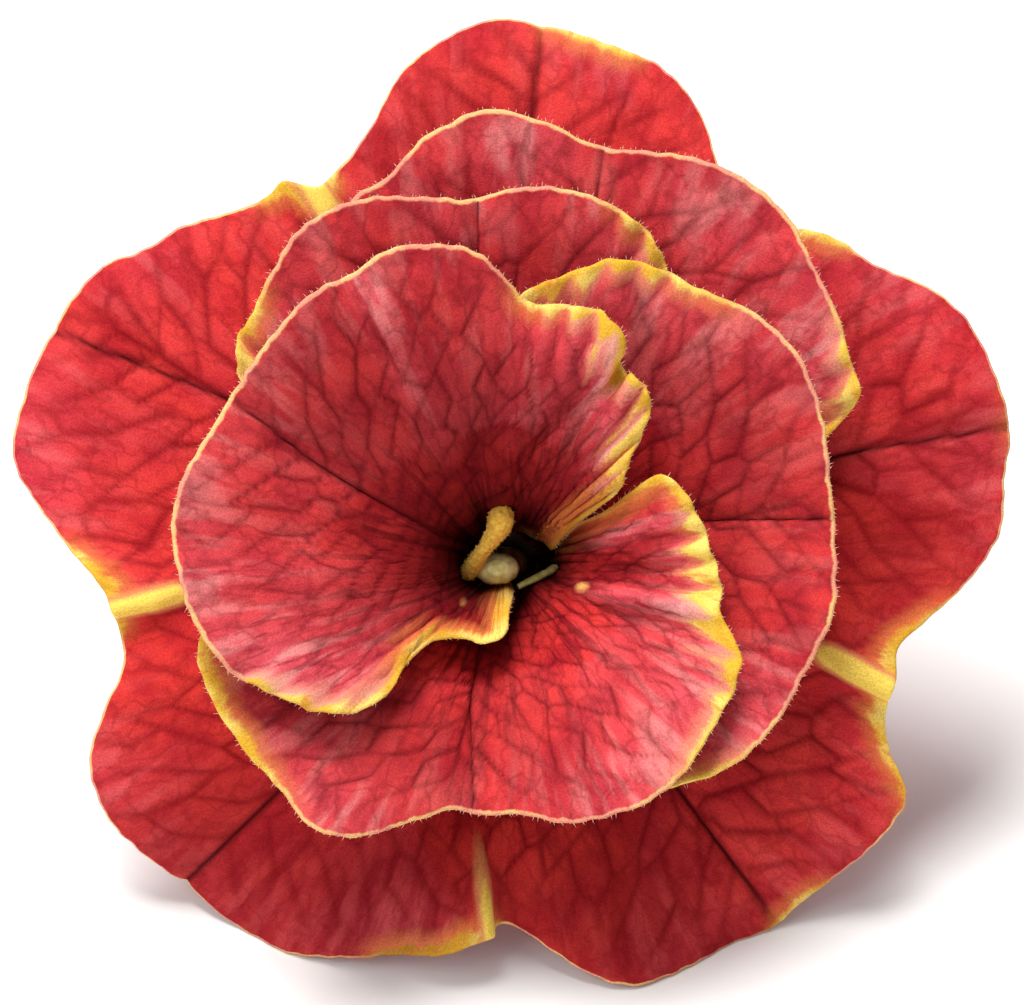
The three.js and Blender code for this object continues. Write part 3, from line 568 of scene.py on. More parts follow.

# %% [markdown]
# ## The five inner petals
#
# Each grew from one stamen, so it has a narrow claw deep in the tube and a broad blade that wraps part
# of the throat. They are listed from the lowest to the topmost. Their free edges run from one side of
# the claw round to the other, and carry most of the yellow.

# %% The inner petals' lines
# layer: core, level, slope. claw: degrees, height.
# edge: [degrees, radius, lift, width of the yellow margin, blush].
# deep, flush: soft patches, [degrees, radius, spread, amount]. The deep ones are dense pigment and painted
# shade, the flush ones pale pigment streaks and painted light.
# ruffles: fine waves of the margin, [from degrees, to degrees, number of waves, height].
# folds: ridges (or hollows) of the blade, [degrees, radius, degrees, radius, half width, height].
# bulge: where the blade comes further into the throat, [degrees, spread in degrees, mm].
# spots: small yellow flecks, [degrees, radius, spread, amount].
INNER_PETALS = [
    {
        "node": "inner_petal_back", "layer": (3.55, 1.05, 0.1), "claw": (62, -6.0), "rim": 17,
        "midrib": [[68, 5], [74, 11], [77, 16.6]],
        "edge": [
            [98, 5.4, 0, 0.1, 0], [118, 8.0, 0, 0.1, 0], [122, 11.5, 0, 0.1, 0.1], [118, 14.0, 0, 0.1, 0.2],
            [113, 15.0, 0, 0.08, 0.3], [107, 15.4, 0.1, 0.06, 0.4], [100, 16.6, 0.2, 0.06, 0.4],
            [92, 17.3, 0.2, 0.06, 0.4], [85, 16.9, 0.1, 0.06, 0.3], [77, 16.3, -0.2, 0.06, 0.2],
            [70, 16.7, 0, 0.1, 0.3], [62, 17.2, 0.2, 0.06, 0.4], [52, 17.1, 0.3, 0.06, 0.5],
            [45, 16.4, 0.3, 0.08, 0.6], [37, 15.8, 0.3, 0.15, 0.8], [30, 15.2, 0.4, 0.4, 0.9],
            [26, 15.0, 0.4, 0.55, 0.9], [22, 13.3, 0.2, 0.45, 0.7], [17, 11.0, 0, 0.2, 0.4],
            [16, 8.0, 0, 0.1, 0], [20, 5.6, 0, 0.1, 0],
        ],
        "flush_and_painted_light": [[33, 14.2, 2.2, 0.8], [60, 14.8, 2.8, 0.6], [88, 15.6, 2.4, 0.7], [44, 13.0, 2.8, 0.45]],
        "ruffles": [[20, 36, 3, 0.14]],
    },
    {
        "node": "inner_petal_top", "layer": (2.9, 2.0, 0.15), "claw": (108, -7.5), "rim": 14.3,
        "midrib": [[103, 4], [96, 9], [94.3, 14]],
        "edge": [
            [141, 4.6, 0, 0.1, 0], [152, 7.0, 0, 0.2, 0.1], [150, 10.0, 0, 0.35, 0.4],
            [145, 12.2, 0.1, 0.45, 0.7], [140, 13.2, 0.3, 0.45, 0.7], [135, 13.5, 0.3, 0.3, 0.6],
            [129, 14.1, 0.4, 0.12, 0.5], [121, 14.9, 0.5, 0.06, 0.4], [112, 14.9, 0.4, 0.06, 0.3],
            [103, 14.3, 0.2, 0.06, 0.2], [95, 13.9, 0, 0.06, 0.2], [88, 14.3, 0.3, 0.06, 0.3],
            [79, 14.4, 0.5, 0.08, 0.5], [70, 14.0, 0.4, 0.25, 0.6], [64, 13.3, 0.2, 0.4, 0.6],
            [57, 11.5, 0, 0.3, 0.3], [56, 8.0, 0, 0.2, 0], [62, 4.8, 0, 0.1, 0],
        ],
        "deep": [[100, 12.0, 3.0, 0.25], [128, 11.5, 2.5, 0.35], [70, 12.0, 2.0, 0.3]],
        "flush_and_painted_light": [[146, 11.5, 1.6, 0.6], [66, 12.8, 1.2, 0.6], [118, 14.2, 1.2, 0.3],
                  [98, 13.4, 2.2, 0.35]],
        "ruffles": [[58, 74, 3, 0.12], [136, 150, 3, 0.12]],
    },
    {
        "node": "inner_petal_right", "layer": (2.25, 2.95, 0.2), "claw": (10, -9.0), "rim": 12.7,
        "midrib": [[19, 4], [12, 8], [8, 12.6]],
        "edge": [
            [72, 3.9, 0, 0.1, 0], [90, 6.0, 0, 0.2, 0.2], [93, 8.6, 0, 0.35, 0.5],
            [86, 10.3, 0.1, 0.45, 0.7], [79, 11.1, 0.3, 0.45, 0.8], [70, 12.3, 0.5, 0.4, 0.9],
            [63, 12.6, 0.4, 0.35, 0.8],
            [54, 12.8, 0.3, 0.25, 0.7], [45, 13.4, 0.4, 0.12, 0.5], [37, 13.6, 0.4, 0.06, 0.4],
            [29, 13.4, 0.3, 0.06, 0.3], [19, 12.9, 0.1, 0.06, 0.2], [8, 12.5, -0.1, 0.06, 0.2],
            [-2, 12.5, 0.1, 0.06, 0.2], [-9, 12.5, 0.2, 0.06, 0.2], [-20, 12.0, 0.1, 0.06, 0.3],
            [-31, 11.8, 0.2, 0.08, 0.5], [-40, 11.5, 0.3, 0.2, 0.7], [-49, 10.8, 0.1, 0.25, 0.7],
            [-58, 9.8, 0, 0.2, 0.4], [-62, 7.0, 0, 0.1, 0], [-48, 4.0, 0, 0.1, 0],
        ],
        "deep": [[30, 10.5, 3.4, 0.5], [50, 9.0, 2.4, 0.45], [5, 9.5, 2.2, 0.3]],
        "flush_and_painted_light": [[72, 11.2, 1.4, 0.45], [60, 11.4, 1.3, 0.35], [40, 12.6, 1.2, 0.4], [-38, 10.8, 1.6, 0.6],
                  [-28, 10.2, 2.4, 0.6]],
        "ruffles": [[56, 84, 5, 0.12]],
    },
    {
        "node": "inner_petal_bottom", "layer": (1.6, 3.9, 0.24), "claw": (-92, -10.5), "rim": 11.2,
        "midrib": [[250, 2.6], [256, 5], [262.7, 9.5]],
        "edge": [
            [176, 3.2, 0, 0.1, 0], [170, 5.5, 0, 0.3, 0], [178, 8.8, 0, 0.5, 0.2],
            [190, 11.2, 0, 0.55, 0.5], [196, 12.0, 0.1, 0.55, 0.6], [205, 12.1, 0.2, 0.5, 0.6],
            [215, 12.0, 0.3, 0.4, 0.6],
            [224, 11.9, 0.2, 0.2, 0.7], [233, 12.2, 0.5, 0.12, 0.8], [240, 11.8, 0.4, 0.1, 0.7],
            [249, 10.4, 0.1, 0.08, 0.4], [258, 9.4, -0.3, 0.06, 0.2], [266, 9.4, -0.3, 0.06, 0.2],
            [274, 9.4, -0.1, 0.06, 0.3], [283, 9.9, 0.2, 0.06, 0.4], [293, 10.2, 0.3, 0.08, 0.7],
            [304, 10.4, 0.4, 0.12, 0.9], [313, 10.2, 0.5, 0.2, 1.0], [323, 9.9, 0.5, 0.3, 1.0],
            [332, 9.8, 0.6, 0.38, 1.0], [339, 9.5, 0.6, 0.5, 1.0], [347, 8.5, 0.4, 0.85, 1.0],
            [356, 8.1, 0.5, 0.85, 0.9], [365, 7.8, 0.7, 0.65, 0.8], [375, 7.5, 1.0, 0.45, 0.7],
            [383, 7.3, 1.4, 0.4, 0.5], [390, 6.8, 1.5, 0.4, 0.3], [390, 5.4, 1.2, 0.28, 0.1],
            [388, 4.3, 0.7, 0.2, 0], [388, 3.0, 0.2, 0.16, 0], [378, 2.2, 0, 0.14, 0],
        ],
        "deep": [[236, 8.5, 2.8, 0.45], [210, 9.0, 2.0, 0.3], [270, 3.5, 1.6, 0.4], [278, 6.6, 2.4, 0.15]],
        "flush_and_painted_light": [[322, 7.6, 2.3, 0.9], [300, 8.6, 1.8, 0.6], [343, 6.0, 1.3, 0.8], [232, 10.8, 1.5, 0.5],
                  [6, 6.6, 1.1, 0.6]],
        "ruffles": [[318, 386, 9, 0.13]],
        "folds": [[342, 2.6, 347, 8.4, 0.4, 0.6], [354, 2.8, 357, 5.6, 0.5, -0.3],
                  [318, 3.0, 322, 8.0, 0.5, 0.2], [372, 2.8, 376, 6.6, 0.4, 0.25],
                  [363, 4.4, 364, 7.4, 0.4, 0.15]],
        "bulge": [-45, 34, 1.1], "spots": [[343.5, 3.1, 0.2, 0.6], [344.5, 3.35, 0.16, 0.55]],
    },
    {
        "node": "inner_petal_left", "layer": (0.95, 5.0, 0.28), "claw": (150, -12.0), "rim": 12.0,
        "midrib": [[156, 2.4], [152, 7], [148.5, 12.2]],
        "edge": [
            [18, 1.9, 0, 0.3, 0], [29, 2.8, 0.1, 0.3, 0], [32, 4.1, 0.2, 0.32, 0.1],
            [34, 5.2, 0.5, 0.4, 0.3], [40.5, 6.3, 0.5, 0.5, 0.6], [44, 7.1, 0.4, 0.5, 0.8],
            [47.5, 8.1, 0.6, 0.42, 0.9],
            [54, 8.65, 0.8, 0.32, 1.0], [59.3, 8.5, 0.1, 0.6, 1.0], [61.3, 9.1, 0.3, 0.75, 1.1],
            [63.5, 9.85, 0.9, 0.55, 1.1], [69, 10.2, 1.0, 0.45, 1.0], [77, 10.05, 0.5, 0.35, 0.8],
            [85, 9.95, 0.1, 0.25, 0.5], [90, 10.8, 0.3, 0.12, 0.4],
            [96, 11.9, 0.6, 0.08, 0.3], [104, 12.4, 0.7, 0.06, 0.3], [111, 12.6, 0.6, 0.06, 0.4],
            [118, 12.4, 0.5, 0.06, 0.3], [126, 12.5, 0.5, 0.06, 0.3], [137, 12.2, 0.4, 0.06, 0.3],
            [148, 12.05, 0.0, 0.06, 0.4], [157, 12.2, 0.3, 0.06, 0.5], [165, 12.5, 0.5, 0.06, 0.6],
            [174, 12.5, 0.4, 0.06, 0.7], [183, 12.2, 0.4, 0.06, 0.8], [192, 11.7, 0.5, 0.08, 0.9],
            [201, 11.0, 0.4, 0.12, 1.0], [209, 9.9, 0.3, 0.28, 1.1], [217, 9.0, 0.3, 0.35, 1.1],
            [224, 7.9, 0.4, 0.38, 1.0], [227.5, 6.5, 0.4, 0.38, 0.6], [225, 5.3, 0.3, 0.36, 0.2],
            [226, 4.0, 0.3, 0.36, 0.1], [240, 3.2, 0.4, 0.38, 0], [258, 2.95, 0.5, 0.4, 0],
            [271, 2.6, 0.5, 0.5, 0], [274, 2.0, 0.6, 0.55, 0], [282, 1.3, 0.9, 0.6, 0],
            [288, 1.0, 1.2, 0.6, 0],
        ],
        "deep": [[102, 5.4, 3.3, 0.85], [66, 4.6, 2.2, 0.6], [140, 9.0, 3.0, 0.55], [150, 4.5, 2.4, 0.6],
                 [200, 3.8, 2.0, 0.75], [112, 9.5, 2.6, 0.1], [24, 2.8, 1.5, 0.8]],
        "flush_and_painted_light": [[204, 8.8, 3.3, 1.0], [178, 10.6, 1.8, 0.5], [226, 7.0, 1.2, 0.6], [63, 7.6, 1.1, 0.6],
                  [40, 6.0, 1.0, 0.5], [74, 8.6, 1.4, 0.5]],
        "ruffles": [[31, 58, 6, 0.16], [60, 84, 4, 0.14], [196, 226, 4, 0.1]],
        "folds": [[58.5, 6.6, 59.4, 8.6, 0.35, -0.5], [62, 6.8, 64.5, 9.6, 0.45, 0.45],
                  [120, 4.0, 116, 12.0, 0.8, 0.2], [184, 4.0, 182, 12.0, 0.9, 0.2],
                  [71, 6.4, 73, 9.6, 0.3, 0.22], [53, 5.2, 55, 8.2, 0.26, 0.26],
                  [47, 4.4, 47.5, 7.4, 0.24, 0.24], [79, 6.2, 80, 9.4, 0.28, 0.16],
                  [40, 3.6, 39, 6.0, 0.22, 0.2]],
        "bulge": [-95, 40, 0.8], "spots": [[222, 2.2, 0.2, 0.38]],
    },
]
print("inner petals:", [p["node"] for p in INNER_PETALS])

# %% [markdown]
# The rim of every inner petal carries fine gland hairs, a quarter of a millimetre long. They catch the
# light as a pale fringe, so they are real geometry: pointed cones that stand out of the rim, leaning a
# little each their own way.

# %% Hairs along an edge
HAIR_LENGTH, HAIR_THICK, HAIR_SPACING = 0.21, 0.017, 0.24


def edge_hairs(edge, outward, up, seed):
    """Cones along a free edge, given its points, outward directions and normals."""
    r = np.random.default_rng(seed)
    s = along(edge)
    places = np.arange(0.5, s[-1] - 0.5, HAIR_SPACING)
    places = places + r.uniform(-0.45, 0.45, len(places)) * HAIR_SPACING

    def at(values):
        return np.stack([np.interp(places, s, c) for c in values.T], -1)

    lean = r.normal(0, 0.35, (len(places), 3))
    direction = at(outward) + at(up) * r.uniform(-0.2, 0.9, (len(places), 1)) + lean
    return cones(at(edge), direction, HAIR_LENGTH * r.uniform(0.5, 1.25, len(places)), HAIR_THICK)


# %% Build the inner petals
PETAL_COLUMNS, PETAL_ROWS = 300, 84
INNER_LANE, INNER_CELL = 0.115, 0.13  # radians, share of the radius
BLADE_REACH = (2.4, 2.4)  # radians on each side of the midrib
CLAW_HALF_WIDTH = 0.65  # mm
RUFFLE_REACH = 2.8  # mm
YELLOW_ON_RIDGES = 4  # each mm of ruffle widens the yellow margin by this share
PAINTED_HIGHLIGHT_ON_RIDGES = 3.5  # painted highlight: each mm of a fold's ridge paints it this much paler


def bulge(angle, petal):
    """How far a blade bulges into the throat at each angle, in mm."""
    if "bulge" not in petal:
        return 0 * angle
    degrees, width, amount = petal["bulge"]
    away = (np.degrees(angle) - degrees + 180) % 360 - 180
    return amount * np.exp(-((away / width) ** 2))


def petal_grid(petal, rim):
    """Points of a blade, each column from the claw to the free edge."""
    core, level, slope = petal["layer"]
    claw_angle = math.radians(petal["claw"][0])
    claw_gap = FUNNEL / (level - petal["claw"][1])
    turns = np.arctan2(rim[:, 1], rim[:, 0]) - claw_angle
    turns = np.arctan2(np.sin(turns), np.cos(turns))
    spread = np.sign(turns[0]) * CLAW_HALF_WIDTH / (core + claw_gap)
    start = spread * (1 - 2 * np.arange(len(rim)) / (len(rim) - 1))
    t = np.linspace(0, 1, PATH_STEPS)
    place = claw_angle + start[:, None] + (turns - start)[:, None] * t
    core = core - bulge(place, petal)
    edge_gap = np.hypot(rim[:, 0], rim[:, 1]) - core[:, -1]
    radius = core + claw_gap * (edge_gap[:, None] / claw_gap) ** t
    height = layer_height(core, level, slope, radius) + rim[:, 2:3] * t ** EDGE_LIFT_POWER
    return rows_along(polar(place, radius, height), PETAL_ROWS, 0.7)


def fold_height(x, y, rows):
    """Height of ridges along lines, rows of [degrees, radius, degrees, radius, half width, height]."""
    total = np.zeros_like(x)
    for a0, r0, a1, r1, half_width, rise in rows:
        p0, p1 = polar(np.radians([a0, a1]), np.array([r0, r1]), 0)[:, :2]
        run = p1 - p0
        length = np.linalg.norm(run)
        share = ((x - p0[0]) * run[0] + (y - p0[1]) * run[1]) / length ** 2
        beside = ((y - p0[1]) * run[0] - (x - p0[0]) * run[1]) / length
        total += rise * np.clip(share * 2.2, 0, 1) * np.clip((1.35 - share) * 4, 0, 1) * np.exp(
            -((beside / half_width) ** 2))
    return total


def ruffle_wave(angle, rows):
    """Waves of the margin, rows of [from degrees, to degrees, number of waves, height]."""
    wave = np.zeros_like(angle)
    for first, last, count, height in rows:
        share = ((np.degrees(angle) - first) % 360) / (last - first)
        inside = np.clip(np.minimum(share, 1 - share) * 6, 0, 1)
        wave += height * inside * np.sin(2 * math.pi * count * share)
    return wave


inner_petals = []
for number, petal in enumerate(INNER_PETALS):
    edge = ragged(edge_line(petal["edge"]), 0.06, 20 + number)
    rim = resample(edge, np.linspace(0, 1, PETAL_COLUMNS + 1))
    grid = petal_grid(petal, rim)
    x, y = grid[..., 0], grid[..., 1]
    reach = np.hypot(x, y)
    around = np.arctan2(y, x)
    midrib = math.radians(petal["midrib"][1][0])
    network = vein_segments(midrib, petal["rim"], BLADE_REACH, INNER_LANE, INNER_CELL)
    vein = draw_lines(x, y, network, 0.045 + 0.008 * reach)
    rib = line_pieces(petal["midrib"])
    crease, valley = draw_lines(x, y, rib, 0.085), draw_lines(x, y, rib, 0.55)
    first_gap = distance_to(grid, grid[:, -1])[0]
    ruffle = ruffle_wave(around, petal["ruffles"])
    fold = fold_height(x, y, petal.get("folds", []))
    extra = ruffle * np.clip(1 - first_gap / RUFFLE_REACH, 0, 1) ** 2 + fold
    grid = relief(grid, vein, crease, valley, slow_waves(around, reach, 40 + number), extra)
    outline = np.vstack([grid[:, -1], grid[0, ::-1], grid[-1, ::-1]])
    gap, nearest = distance_to(grid, outline)
    on_first_side = nearest < len(rim) + PETAL_ROWS + 1
    nearest = np.where(nearest < len(rim), nearest, np.where(on_first_side, 0, len(rim) - 1))
    outward = grid[:, -1] - grid[:, -2]
    outward /= np.linalg.norm(outward, axis=-1, keepdims=True)
    hairs = edge_hairs(grid[:, -1] + outward * 0.05, outward, facing_out(grid, False)[:, -1], 60 + number)
    fields = {
        "vein": vein, "crease": crease, "pleat": soft_patches(x, y, petal.get("spots", [])),
        "reach": reach + bulge(around, petal),
        "from_edge": np.minimum(remaining(grid), gap),
        "yellow": rim[nearest, 3] * (1 + YELLOW_ON_RIDGES * ruffle),
        # deep: the dense patches, and painted shade in the hollows of folds.
        "deep": np.maximum(soft_patches(x, y, petal.get("deep", [])), np.clip(-1.2 * fold, 0, 0.6)),
        # blush: the pale pigment of the edge, the flush patches with their painted light, and painted
        # highlight on the ridges of folds.
        "blush": np.maximum(np.maximum(0.6 * rim[nearest, 4], soft_patches(x, y, petal["flush_and_painted_light"])),
                            np.clip(PAINTED_HIGHLIGHT_ON_RIDGES * fold, 0, 1.4)),
        "flow": flow_of(around, reach, 9) + [0, 0, 7 * number],
    }
    made = sheet(petal["node"].replace("inner_petal", "petaloid"), grid, fields, hairs=hairs)
    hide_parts(petal["node"])
    inner_petals.append(made)
    print(made.name, len(made.data.polygons), "faces,", len(hairs[1]) // 4, "hairs")

# %% [markdown]
# ## The organs in the throat
#
# The pistil's moist yellow-green stigma sits in the throat on a thin style. Beside it stand an anther
# that is half petal, orange and covered in papillae, and one thin pale filament. They are round or
# flattened stems of changing width, so one function sweeps a ring of points along a path. The ring is
# turned by the axis that the path uses least, so that it never flips over on the way.

# %% Sweep a stem
# path: [x, y, z, radius]. flat: thickness as a share of the width. lobed: how much wider than round.
PISTIL = {
    "flat": 0.9, "sides": 40, "rings": 150, "bumps": 0.015, "lobed": 0.12,
    "path": [
        [0, 0, -14.0, 0.3], [0, 0, -13.7, 0.7], [0, 0, -12.9, 0.72], [0, 0, -12.3, 0.35],
        [0, 0, -10.5, 0.2], [-0.05, 0, -6.0, 0.2], [-0.22, -0.1, -2.2, 0.22], [-0.32, -0.16, -1.5, 0.4],
        [-0.33, -0.16, -0.8, 0.72], [-0.3, -0.12, -0.15, 0.68], [-0.28, -0.1, 0.25, 0.32],
    ],
}
ANTHER = {
    "flat": 1.0, "sides": 36, "rings": 170, "bumps": 0.022,
    "path": [
        [-0.75, 0.2, -8.0, 0.18], [-0.95, 0.1, -5.0, 0.2], [-1.3, -0.2, -1.9, 0.24],
        [-1.4, -0.24, -0.45, 0.32], [-1.12, 0.16, 0.4, 0.31], [-0.8, 0.6, 0.8, 0.28],
        [-0.45, 1.08, 1.05, 0.36], [-0.22, 1.5, 1.2, 0.47], [-0.16, 1.82, 1.25, 0.5],
        [-0.2, 2.08, 1.25, 0.42], [-0.27, 2.27, 1.24, 0.27], [-0.33, 2.38, 1.22, 0.1],
    ],
}
FILAMENT = {
    "flat": 0.8, "sides": 24, "rings": 110, "bumps": 0.01,
    "path": [
        [0.5, -0.84, -1.1, 0.14], [1.2, -0.5, -1.3, 0.18], [1.8, -0.2, -1.8, 0.18],
        [1.88, 0.02, -3.0, 0.17], [1.5, 0.12, -5.0, 0.17], [1.15, 0.25, -9.0, 0.16],
    ],
}
PEDICEL = {
    "flat": 1.0, "sides": 36, "rings": 130, "bumps": 0.02,
    "path": [
        [0.5, 6.2, -21.2, 0.5], [0.45, 5.6, -20.9, 0.56], [0.35, 4.0, -20.0, 0.55],
        [0.15, 2.0, -18.7, 0.56],
        [0.0, 0.6, -17.4, 0.68], [0.0, 0.1, -16.6, 1.1], [0.0, 0.0, -15.9, 1.62], [0.0, 0.0, -15.2, 1.75],
        [0.0, 0.0, -14.6, 1.3],
    ],
}


def stem_points(shape, seed):
    """Rings of points along the path, and the ring normals."""
    r = np.random.default_rng(seed)
    line = resample(smooth_line(shape["path"]), np.linspace(0, 1, shape["rings"] + 1))
    ahead = np.gradient(line[:, :3], axis=0)
    ahead /= np.linalg.norm(ahead, axis=1, keepdims=True)
    least_used_axis = np.eye(3)[np.ptp(line[:, :3], axis=0).argmin()]
    side = np.cross(ahead, least_used_axis)
    side /= np.linalg.norm(side, axis=1, keepdims=True)
    thick = np.cross(side, ahead)
    q = np.linspace(0, 2 * math.pi, shape["sides"], endpoint=False)
    width = line[:, 3][:, None]
    bump = shape["bumps"] * r.normal(0, 1, (len(line), len(q)))
    rounded = (width * (1 + shape.get("lobed", 0) * np.cos(2 * q)) + bump)[..., None]
    right, up = np.cos(q)[None, :, None], np.sin(q)[None, :, None]
    normal = right * side[:, None] + up * thick[:, None] * shape["flat"]
    return line[:, None, :3] + rounded * normal, normal


def stem_faces(rings, sides):
    """Faces of a swept stem, closed at both ends."""
    k, s = np.meshgrid(np.arange(rings), np.arange(sides), indexing="ij")
    k, s = k.ravel(), s.ravel()
    s2 = (s + 1) % sides
    low, high = k * sides, (k + 1) * sides
    faces = np.stack([low + s, low + s2, high + s2, high + s], -1).tolist()
    foot = list(range(sides))
    tip = list(range(rings * sides, (rings + 1) * sides))[::-1]
    return [f[::-1] for f in faces] + [foot, tip]


def stem(name, shape, node, seed, hairs=None):
    """A swept stem with scattered hairs, as one piece that replaces a node."""
    points, normal = stem_points(shape, seed)
    faces = stem_faces(shape["rings"], shape["sides"])
    flat_points = points.reshape(-1, 3)
    hair_field = np.zeros(len(flat_points))
    if hairs:
        r = np.random.default_rng(seed + 1)
        low, high = (int(share * shape["rings"]) for share in hairs["from_to"])
        ring = r.integers(low, high, hairs["count"])
        place = r.integers(0, shape["sides"], hairs["count"])
        lengths = hairs["length"] * r.uniform(0.5, 1.2, hairs["count"])
        tilt = normal[ring, place] + r.normal(0, 0.3, (hairs["count"], 3))
        tips, more = cones(points[ring, place] - 0.02 * normal[ring, place], tilt, lengths, hairs["thick"])
        faces += (np.array(more) + len(flat_points)).tolist()
        hair_field = np.concatenate([hair_field, np.ones(len(tips))])
        flat_points = np.vstack([flat_points, tips])
    share = np.repeat(np.linspace(0, 1, shape["rings"] + 1), shape["sides"])
    share = np.concatenate([share, np.zeros(len(flat_points) - len(share))])
    made = build_piece(name, flat_points, faces, {"hair": hair_field, "share": share, "place": flat_points})
    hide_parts(node)
    print(name, len(made.data.polygons), "faces")
    return made


# %% Build the organs
pistil = stem("pistil_with_stigma", PISTIL, "pistil", 71)
anther = stem("papillate_anther", ANTHER, "anther", 72,
              {"count": 900, "from_to": (0.55, 1.0), "length": 0.11, "thick": 0.02})
filament = stem("pale_filament", FILAMENT, "filament", 73)

# %% [markdown]
# ## Calyx and stalk
#
# Five green sepals hold the tube from behind, one behind each gap between lobes, and the stalk was
# nipped off short. Both are downy with short stiff hairs. Sepals are small sheets, so they reuse the
# petal's way of building, with a groove down the middle.

# %% Build the calyx and the stalk
SEPAL_COLUMNS, SEPAL_ROWS = 40, 90
SEPAL_HALF_THICK, SEPAL_HOLLOW, SEPAL_FIRST, SEPAL_HAIRS = 0.2, 0.25, 54, 420
DOWN_LENGTH, DOWN_THICK = 0.3, 0.016  # mm
# A sepal's middle line, outwards and up: [distance from the axis, half width, height].
SEPAL_RUN = [
    [2.25, 0.75, -15.7], [2.75, 0.85, -14.7], [3.5, 1.0, -13.3], [4.4, 1.05, -11.6], [5.3, 0.85, -9.9],
    [6.1, 0.5, -8.4], [6.6, 0.16, -7.5],
]


def sepal_grid():
    """A sepal's points, columns across and rows from foot to tip."""
    spine = resample(smooth_line(SEPAL_RUN), np.linspace(0, 1, SEPAL_ROWS + 1))
    across = np.linspace(-1, 1, SEPAL_COLUMNS + 1)[:, None]
    dip = SEPAL_HOLLOW * spine[:, 1] * (1 - across ** 2) + 0.1 * np.exp(-((across / 0.12) ** 2))
    wave = 0.03 * np.sin(spine[:, 2] * 2.1 + 2 * across)
    return np.stack([spine[:, 0] - dip + wave, across * spine[:, 1], spine[:, 2] + 0 * across], -1)


sepals = []
for number in range(5):
    grid = sepal_grid()
    q = math.radians(SEPAL_FIRST + 72 * number)
    spin = np.array([[math.cos(q), -math.sin(q), 0], [math.sin(q), math.cos(q), 0], [0, 0, 1]])
    share = np.broadcast_to(np.linspace(0, 1, SEPAL_ROWS + 1), grid.shape[:2])
    across = np.broadcast_to(np.linspace(-1, 1, SEPAL_COLUMNS + 1)[:, None], grid.shape[:2])
    r = np.random.default_rng(80 + number)
    i, k = r.integers(0, SEPAL_COLUMNS, SEPAL_HAIRS), r.integers(0, SEPAL_ROWS, SEPAL_HAIRS)
    n = facing_out(grid, False)
    behind = np.where(r.random(SEPAL_HAIRS) < 0.75, -1, 1)[:, None]
    roots = grid[i, k] + behind * n[i, k] * SEPAL_HALF_THICK * 0.8
    directions = behind * n[i, k] + r.normal(0, 0.3, (SEPAL_HAIRS, 3))
    tips = cones(roots, directions, DOWN_LENGTH * r.uniform(0.5, 1.2, SEPAL_HAIRS), DOWN_THICK)
    made = sheet(f"sepal_green_{number + 1}", grid @ spin.T, {"share": share, "across": across},
                 half=SEPAL_HALF_THICK, hairs=(tips[0] @ spin.T, tips[1]))
    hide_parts(f"sepal_{number + 1}")
    sepals.append(made)
stalk = stem("downy_stalk", PEDICEL, "pedicel", 90,
             {"count": 900, "from_to": (0.02, 0.95), "length": 0.28, "thick": DOWN_THICK})
print("sepals:", len(sepals), "of", len(sepals[0].data.polygons), "faces")

# %% [markdown]
# ## Finishes
#
# Petal skin is velvet: tiny cone-shaped cells that scatter light and give a soft sheen with no mirror
# highlight. Colour sits in the skin as pigment, darker over the veins, and yellow where the red pigment
# stops short of the edge; on top of it, some patches are painted shade and painted light. Each finish
# below is a node tree that reads the millimetre fields kept on the points. Colours are chosen as sRGB hex
# values.

# %% Helpers for the node trees
def linear(hex_colour):
    """An sRGB hex colour as linear RGBA."""
    channels = [int(hex_colour[i:i + 2], 16) / 255 for i in (1, 3, 5)]
    return (*[c / 12.92 if c <= 0.04045 else ((c + 0.055) / 1.055) ** 2.4 for c in channels], 1.0)


def add(tree, kind, inputs=None, **settings):
    """Adds a node with its settings, and sets or links its inputs by name or number."""
    node = tree.nodes.new(kind)
    for key, value in settings.items():
        setattr(node, key, value)
    for key, value in (inputs or {}).items():
        if isinstance(value, bpy.types.NodeSocket):
            tree.links.new(value, node.inputs[key])
        else:
            node.inputs[key].default_value = value
    return node


def new_material(name):
    """An empty node material, with its output node."""
    material = bpy.data.materials.new(name)
    material.use_nodes = True
    material.node_tree.nodes.clear()
    return material, material.node_tree, material.node_tree.nodes.new("ShaderNodeOutputMaterial")


print("hex #808080 is linear", round(linear("#808080")[0], 3))

# %% [markdown]
# ### Velvety petal skin
#
# The same skin covers the funnel and the inner petals, with different pigments, so one function lays it
# on. Layers go on in the order in which they hide each other: body colour with its dense patches of
# pigment and painted shade, blush and pale streaks towards the edge with painted light and painted
# highlights among them, dark streaks and veins, the midrib, the painted shade of the throat, the pale
# rim, the yellow margin with painted shade on it, the pleats with their flecks, the underside and the
# hairs.

# %% The velvety petal finish
PETAL_FIELDS = (
    "vein", "crease", "pleat", "reach", "from_edge", "yellow", "blush", "deep", "underside", "hair",
)
FINE_NET = 0.95  # finest veins enclose cells of about 1 mm
# What the two petal finishes share, as sRGB hex.
SKIN = {
    "midrib": "#2a0508", "throat": "#2c040b", "rim": "#e79a7c", "rim_light": "#efc07e", "amber": "#d4743e",
    "cream_pink": "#eda68a", "gold": "#dca934", "gold_light": "#f0cf68", "gold_streak": "#d98440",
    "gold_in_painted_shade": "#8a4a1c", "pleat_side": "#d98a58", "pleat": "#f3d05c", "under": "#c4525f",
    "under_vein": "#a83342", "under_tube": "#d9b06a", "hair": "#f5cdb4",
}


